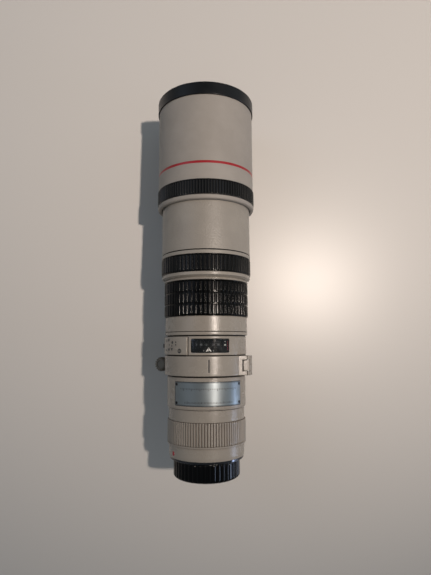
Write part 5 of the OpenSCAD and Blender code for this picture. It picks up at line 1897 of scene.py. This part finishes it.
class Frame:
    """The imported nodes, each dressed in the finish of its slot."""

    def __init__(self, loaded: dict[str, Any]) -> None:
        """Keep the loaded frame.
        """
        self.nodes: dict[str, bpy.types.Object] = loaded["nodes"]
        self.slots: dict[str, str] = {
            s["node"]: s["material_slot"] for s in loaded["record"]["subparts"]
        }

    def dress(self) -> None:
        """Give every node the finish of its slot."""
        for name, node in self.nodes.items():
            finish = SLOT_FINISH[self.slots[name]]
            node.data.materials.clear()
            node.data.materials.append(finish.material())
        LOG.info("%d nodes dressed", len(self.nodes))


# Stage


@dataclass
class Studio:
    """Pale table, ceiling lamp, two windows, dim light all round and the photograph's camera."""

    focal_px: float = 450.0
    frame_px: float = 575.0
    sensor: float = 36.0
    eye: tuple[float, float, float] = (-22.0, 96.85, 409.45)
    yaw: float = 4.27
    pitch: float = 7.16
    spin: float = -0.34
    foot: tuple[float, float] = (93.35, -59.0)
    rim: tuple[float, float] = (322.3, -45.0)
    table_half: float = 3000.0
    table_gap: float = 0.05
    ceiling_lamp: tuple[float, float, float] = (0.57, 0.18, 1.58)
    ceiling_target: tuple[float, float, float] = (0.12, 0.455, 0.0)
    ceiling_power: float = 90.0
    ceiling_bulb: float = 0.03
    ceiling_cone: float = 54.0
    sky_dim: float = 0.14
    sky_rise: float = 0.42

    def build(self) -> None:
        """Build the table, the lamps, the sky and the camera."""
        self.table()
        self.lamps()
        self.sky()
        self.camera()

    def table(self) -> None:
        """Pale table top that the front edge of the foot and the hood's rim rest on."""
        slope = (self.rim[1] - self.foot[1]) / (self.rim[0] - self.foot[0])
        edges = [-self.table_half, self.table_half]
        x, y = np.meshgrid(edges, edges, indexing="ij")
        z = self.foot[1] + (y - self.foot[0]) * slope - self.table_gap
        mesh = bpy.data.meshes.new("table_top")
        points = np.stack([x, y, z], axis=-1).reshape(-1, 3) * MM
        mesh.from_pydata(points.tolist(), [], [(0, 2, 3, 1)])
        mesh.update()
        table = bpy.data.objects.new("table_top", mesh)
        bpy.context.scene.collection.objects.link(table)
        laminate = bpy.data.materials.new("pale_laminate")
        laminate.use_nodes = True
        shader = laminate.node_tree.nodes["Principled BSDF"]
        shader.inputs["Base Color"].default_value = linear("#cbc7c2")
        shader.inputs["Roughness"].default_value = 0.34
        shader.inputs["IOR"].default_value = 1.47
        mesh.materials.append(laminate)

    def hang(
        self, data: bpy.types.Light, place: Sequence[float], target: Sequence[float], colour: str
    ) -> None:
        """Hang a lamp so that it faces a point.

        Args:
            data: The lamp.
            place: Its place, in metres.
            target: Point that it faces.
            colour: Its colour.
        """
        data.color = linear(colour)[:3]
        made = bpy.data.objects.new(data.name, data)
        bpy.context.scene.collection.objects.link(made)
        made.location = place
        made.rotation_mode = "QUATERNION"
        made.rotation_quaternion = (Vector(target) - Vector(place)).to_track_quat("-Z", "Y")

    def window(self, name: str, size: Sequence[float], power: float) -> bpy.types.Light:
        """Make the rectangular lamp that stands for a window.

        Args:
            name: Name of the lamp.
            size: Its two sides, in metres.
            power: Its power, in watts.

        Returns:
            The lamp, not hung yet.
        """
        data = bpy.data.lights.new(name, "AREA")
        data.shape = "RECTANGLE"
        data.size, data.size_y = size
        data.energy = power
        return data

    def lamps(self) -> None:
        """Warm lamp up on the right, a wide dim window on the left and a low one on the right."""
        ceiling = bpy.data.lights.new("ceiling_lamp", "SPOT")
        ceiling.energy = self.ceiling_power
        ceiling.shadow_soft_size = self.ceiling_bulb
        ceiling.spot_size = np.radians(self.ceiling_cone)
        ceiling.spot_blend = 1.0
        self.hang(ceiling, self.ceiling_lamp, self.ceiling_target, "#ffefe2")
        left = self.window("left_window", (1.2, 1.2), 4.5)
        self.hang(left, (-1.6, 0.75, 1.3), (0.0, 0.15, 0.0), "#d4e4ff")
        right = self.window("window", (0.55, 0.3), 5.5)
        self.hang(right, (2.0, -0.42, 0.16), (0.0, 0.03, 0.0), "#c9dcff")

    def sky(self) -> None:
        """Light from all round: dim overhead, brighter low down, most on the window's side."""
        world = bpy.data.worlds.new("studio")
        bpy.context.scene.world = world
        world.use_nodes = True
        tree = world.node_tree
        tree.nodes.clear()
        way = add_node(tree, "SeparateXYZ", {0: add_node(tree, "TexCoord").outputs["Generated"]})
        low, ahead, right = (
            add_node(
                tree, "MapRange",
                {"Value": way.outputs[axis], "From Min": dim, "From Max": full, "To Min": least},
            )
            for axis, dim, full, least in (
                ("Z", 0.97, 0.4, 0.0), ("Y", -0.5, 0.3, 0.15), ("X", -0.6, 0.9, 0.4),
            )
        )
        band = add_node(tree, "Math", {0: low.outputs[0], 1: ahead.outputs[0]}, operation="MULTIPLY")
        both = add_node(tree, "Math", {0: band.outputs[0], 1: right.outputs[0]}, operation="MULTIPLY")
        strength = add_node(
            tree, "Math", {0: both.outputs[0], 1: self.sky_rise, 2: self.sky_dim}, operation="MULTIPLY_ADD"
        )
        light = add_node(tree, "Background", {"Color": linear("#e9f3f8"), "Strength": strength.outputs[0]})
        add_node(tree, "OutputWorld", {"Surface": light.outputs[0]})

    def camera(self) -> None:
        """Camera above the lens, turned and pitched as in the photograph."""
        yaw, pitch, spin = np.radians([self.yaw, self.pitch, self.spin])
        cosine, sine = np.cos(yaw), np.sin(yaw)
        about_y = np.array([[cosine, 0, -sine], [0, 1, 0], [sine, 0, cosine]])
        right = about_y @ np.array([1.0, 0.0, 0.0])
        up = about_y @ np.array([0.0, np.cos(pitch), np.sin(pitch)])
        back = np.cross(right, up)
        turned_right = right * np.cos(spin) + up * np.sin(spin)
        turned_up = up * np.cos(spin) - right * np.sin(spin)
        data = bpy.data.cameras.new("camera")
        data.sensor_width = self.sensor
        data.lens = self.focal_px / self.frame_px * self.sensor
        data.clip_start, data.clip_end = 0.01, 20.0
        made = bpy.data.objects.new("camera", data)
        bpy.context.scene.collection.objects.link(made)
        turn = np.eye(4)
        turn[:3, 0], turn[:3, 1], turn[:3, 2] = turned_right, turned_up, back
        turn[:3, 3] = np.array(self.eye) * MM
        made.matrix_world = Matrix(turn.tolist())
        bpy.context.scene.camera = made


def corners(bounds: tuple[Any, Any]) -> list[list[float]]:
    """Lowest and highest corner as plain lists."""
    return [[float(v) for v in corner] for corner in bounds]


def main() -> None:
    """Load the frame, dress it, add the pieces and set the stage."""
    logging.basicConfig(level=logging.INFO, format="%(name)s: %(message)s")
    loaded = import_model()
    scene = bpy.context.scene
    scene.view_settings.view_transform = "Standard"
    Frame(loaded).dress()
    for assembly in (
        Hood(), FrontBarrel(), FocusRing(), MiddleBarrel(), Collar(), MainBarrel(), RearBarrel(), RearCap(),
    ):
        assembly.build()
    Studio().build()


if __name__ == "__main__":
    main()
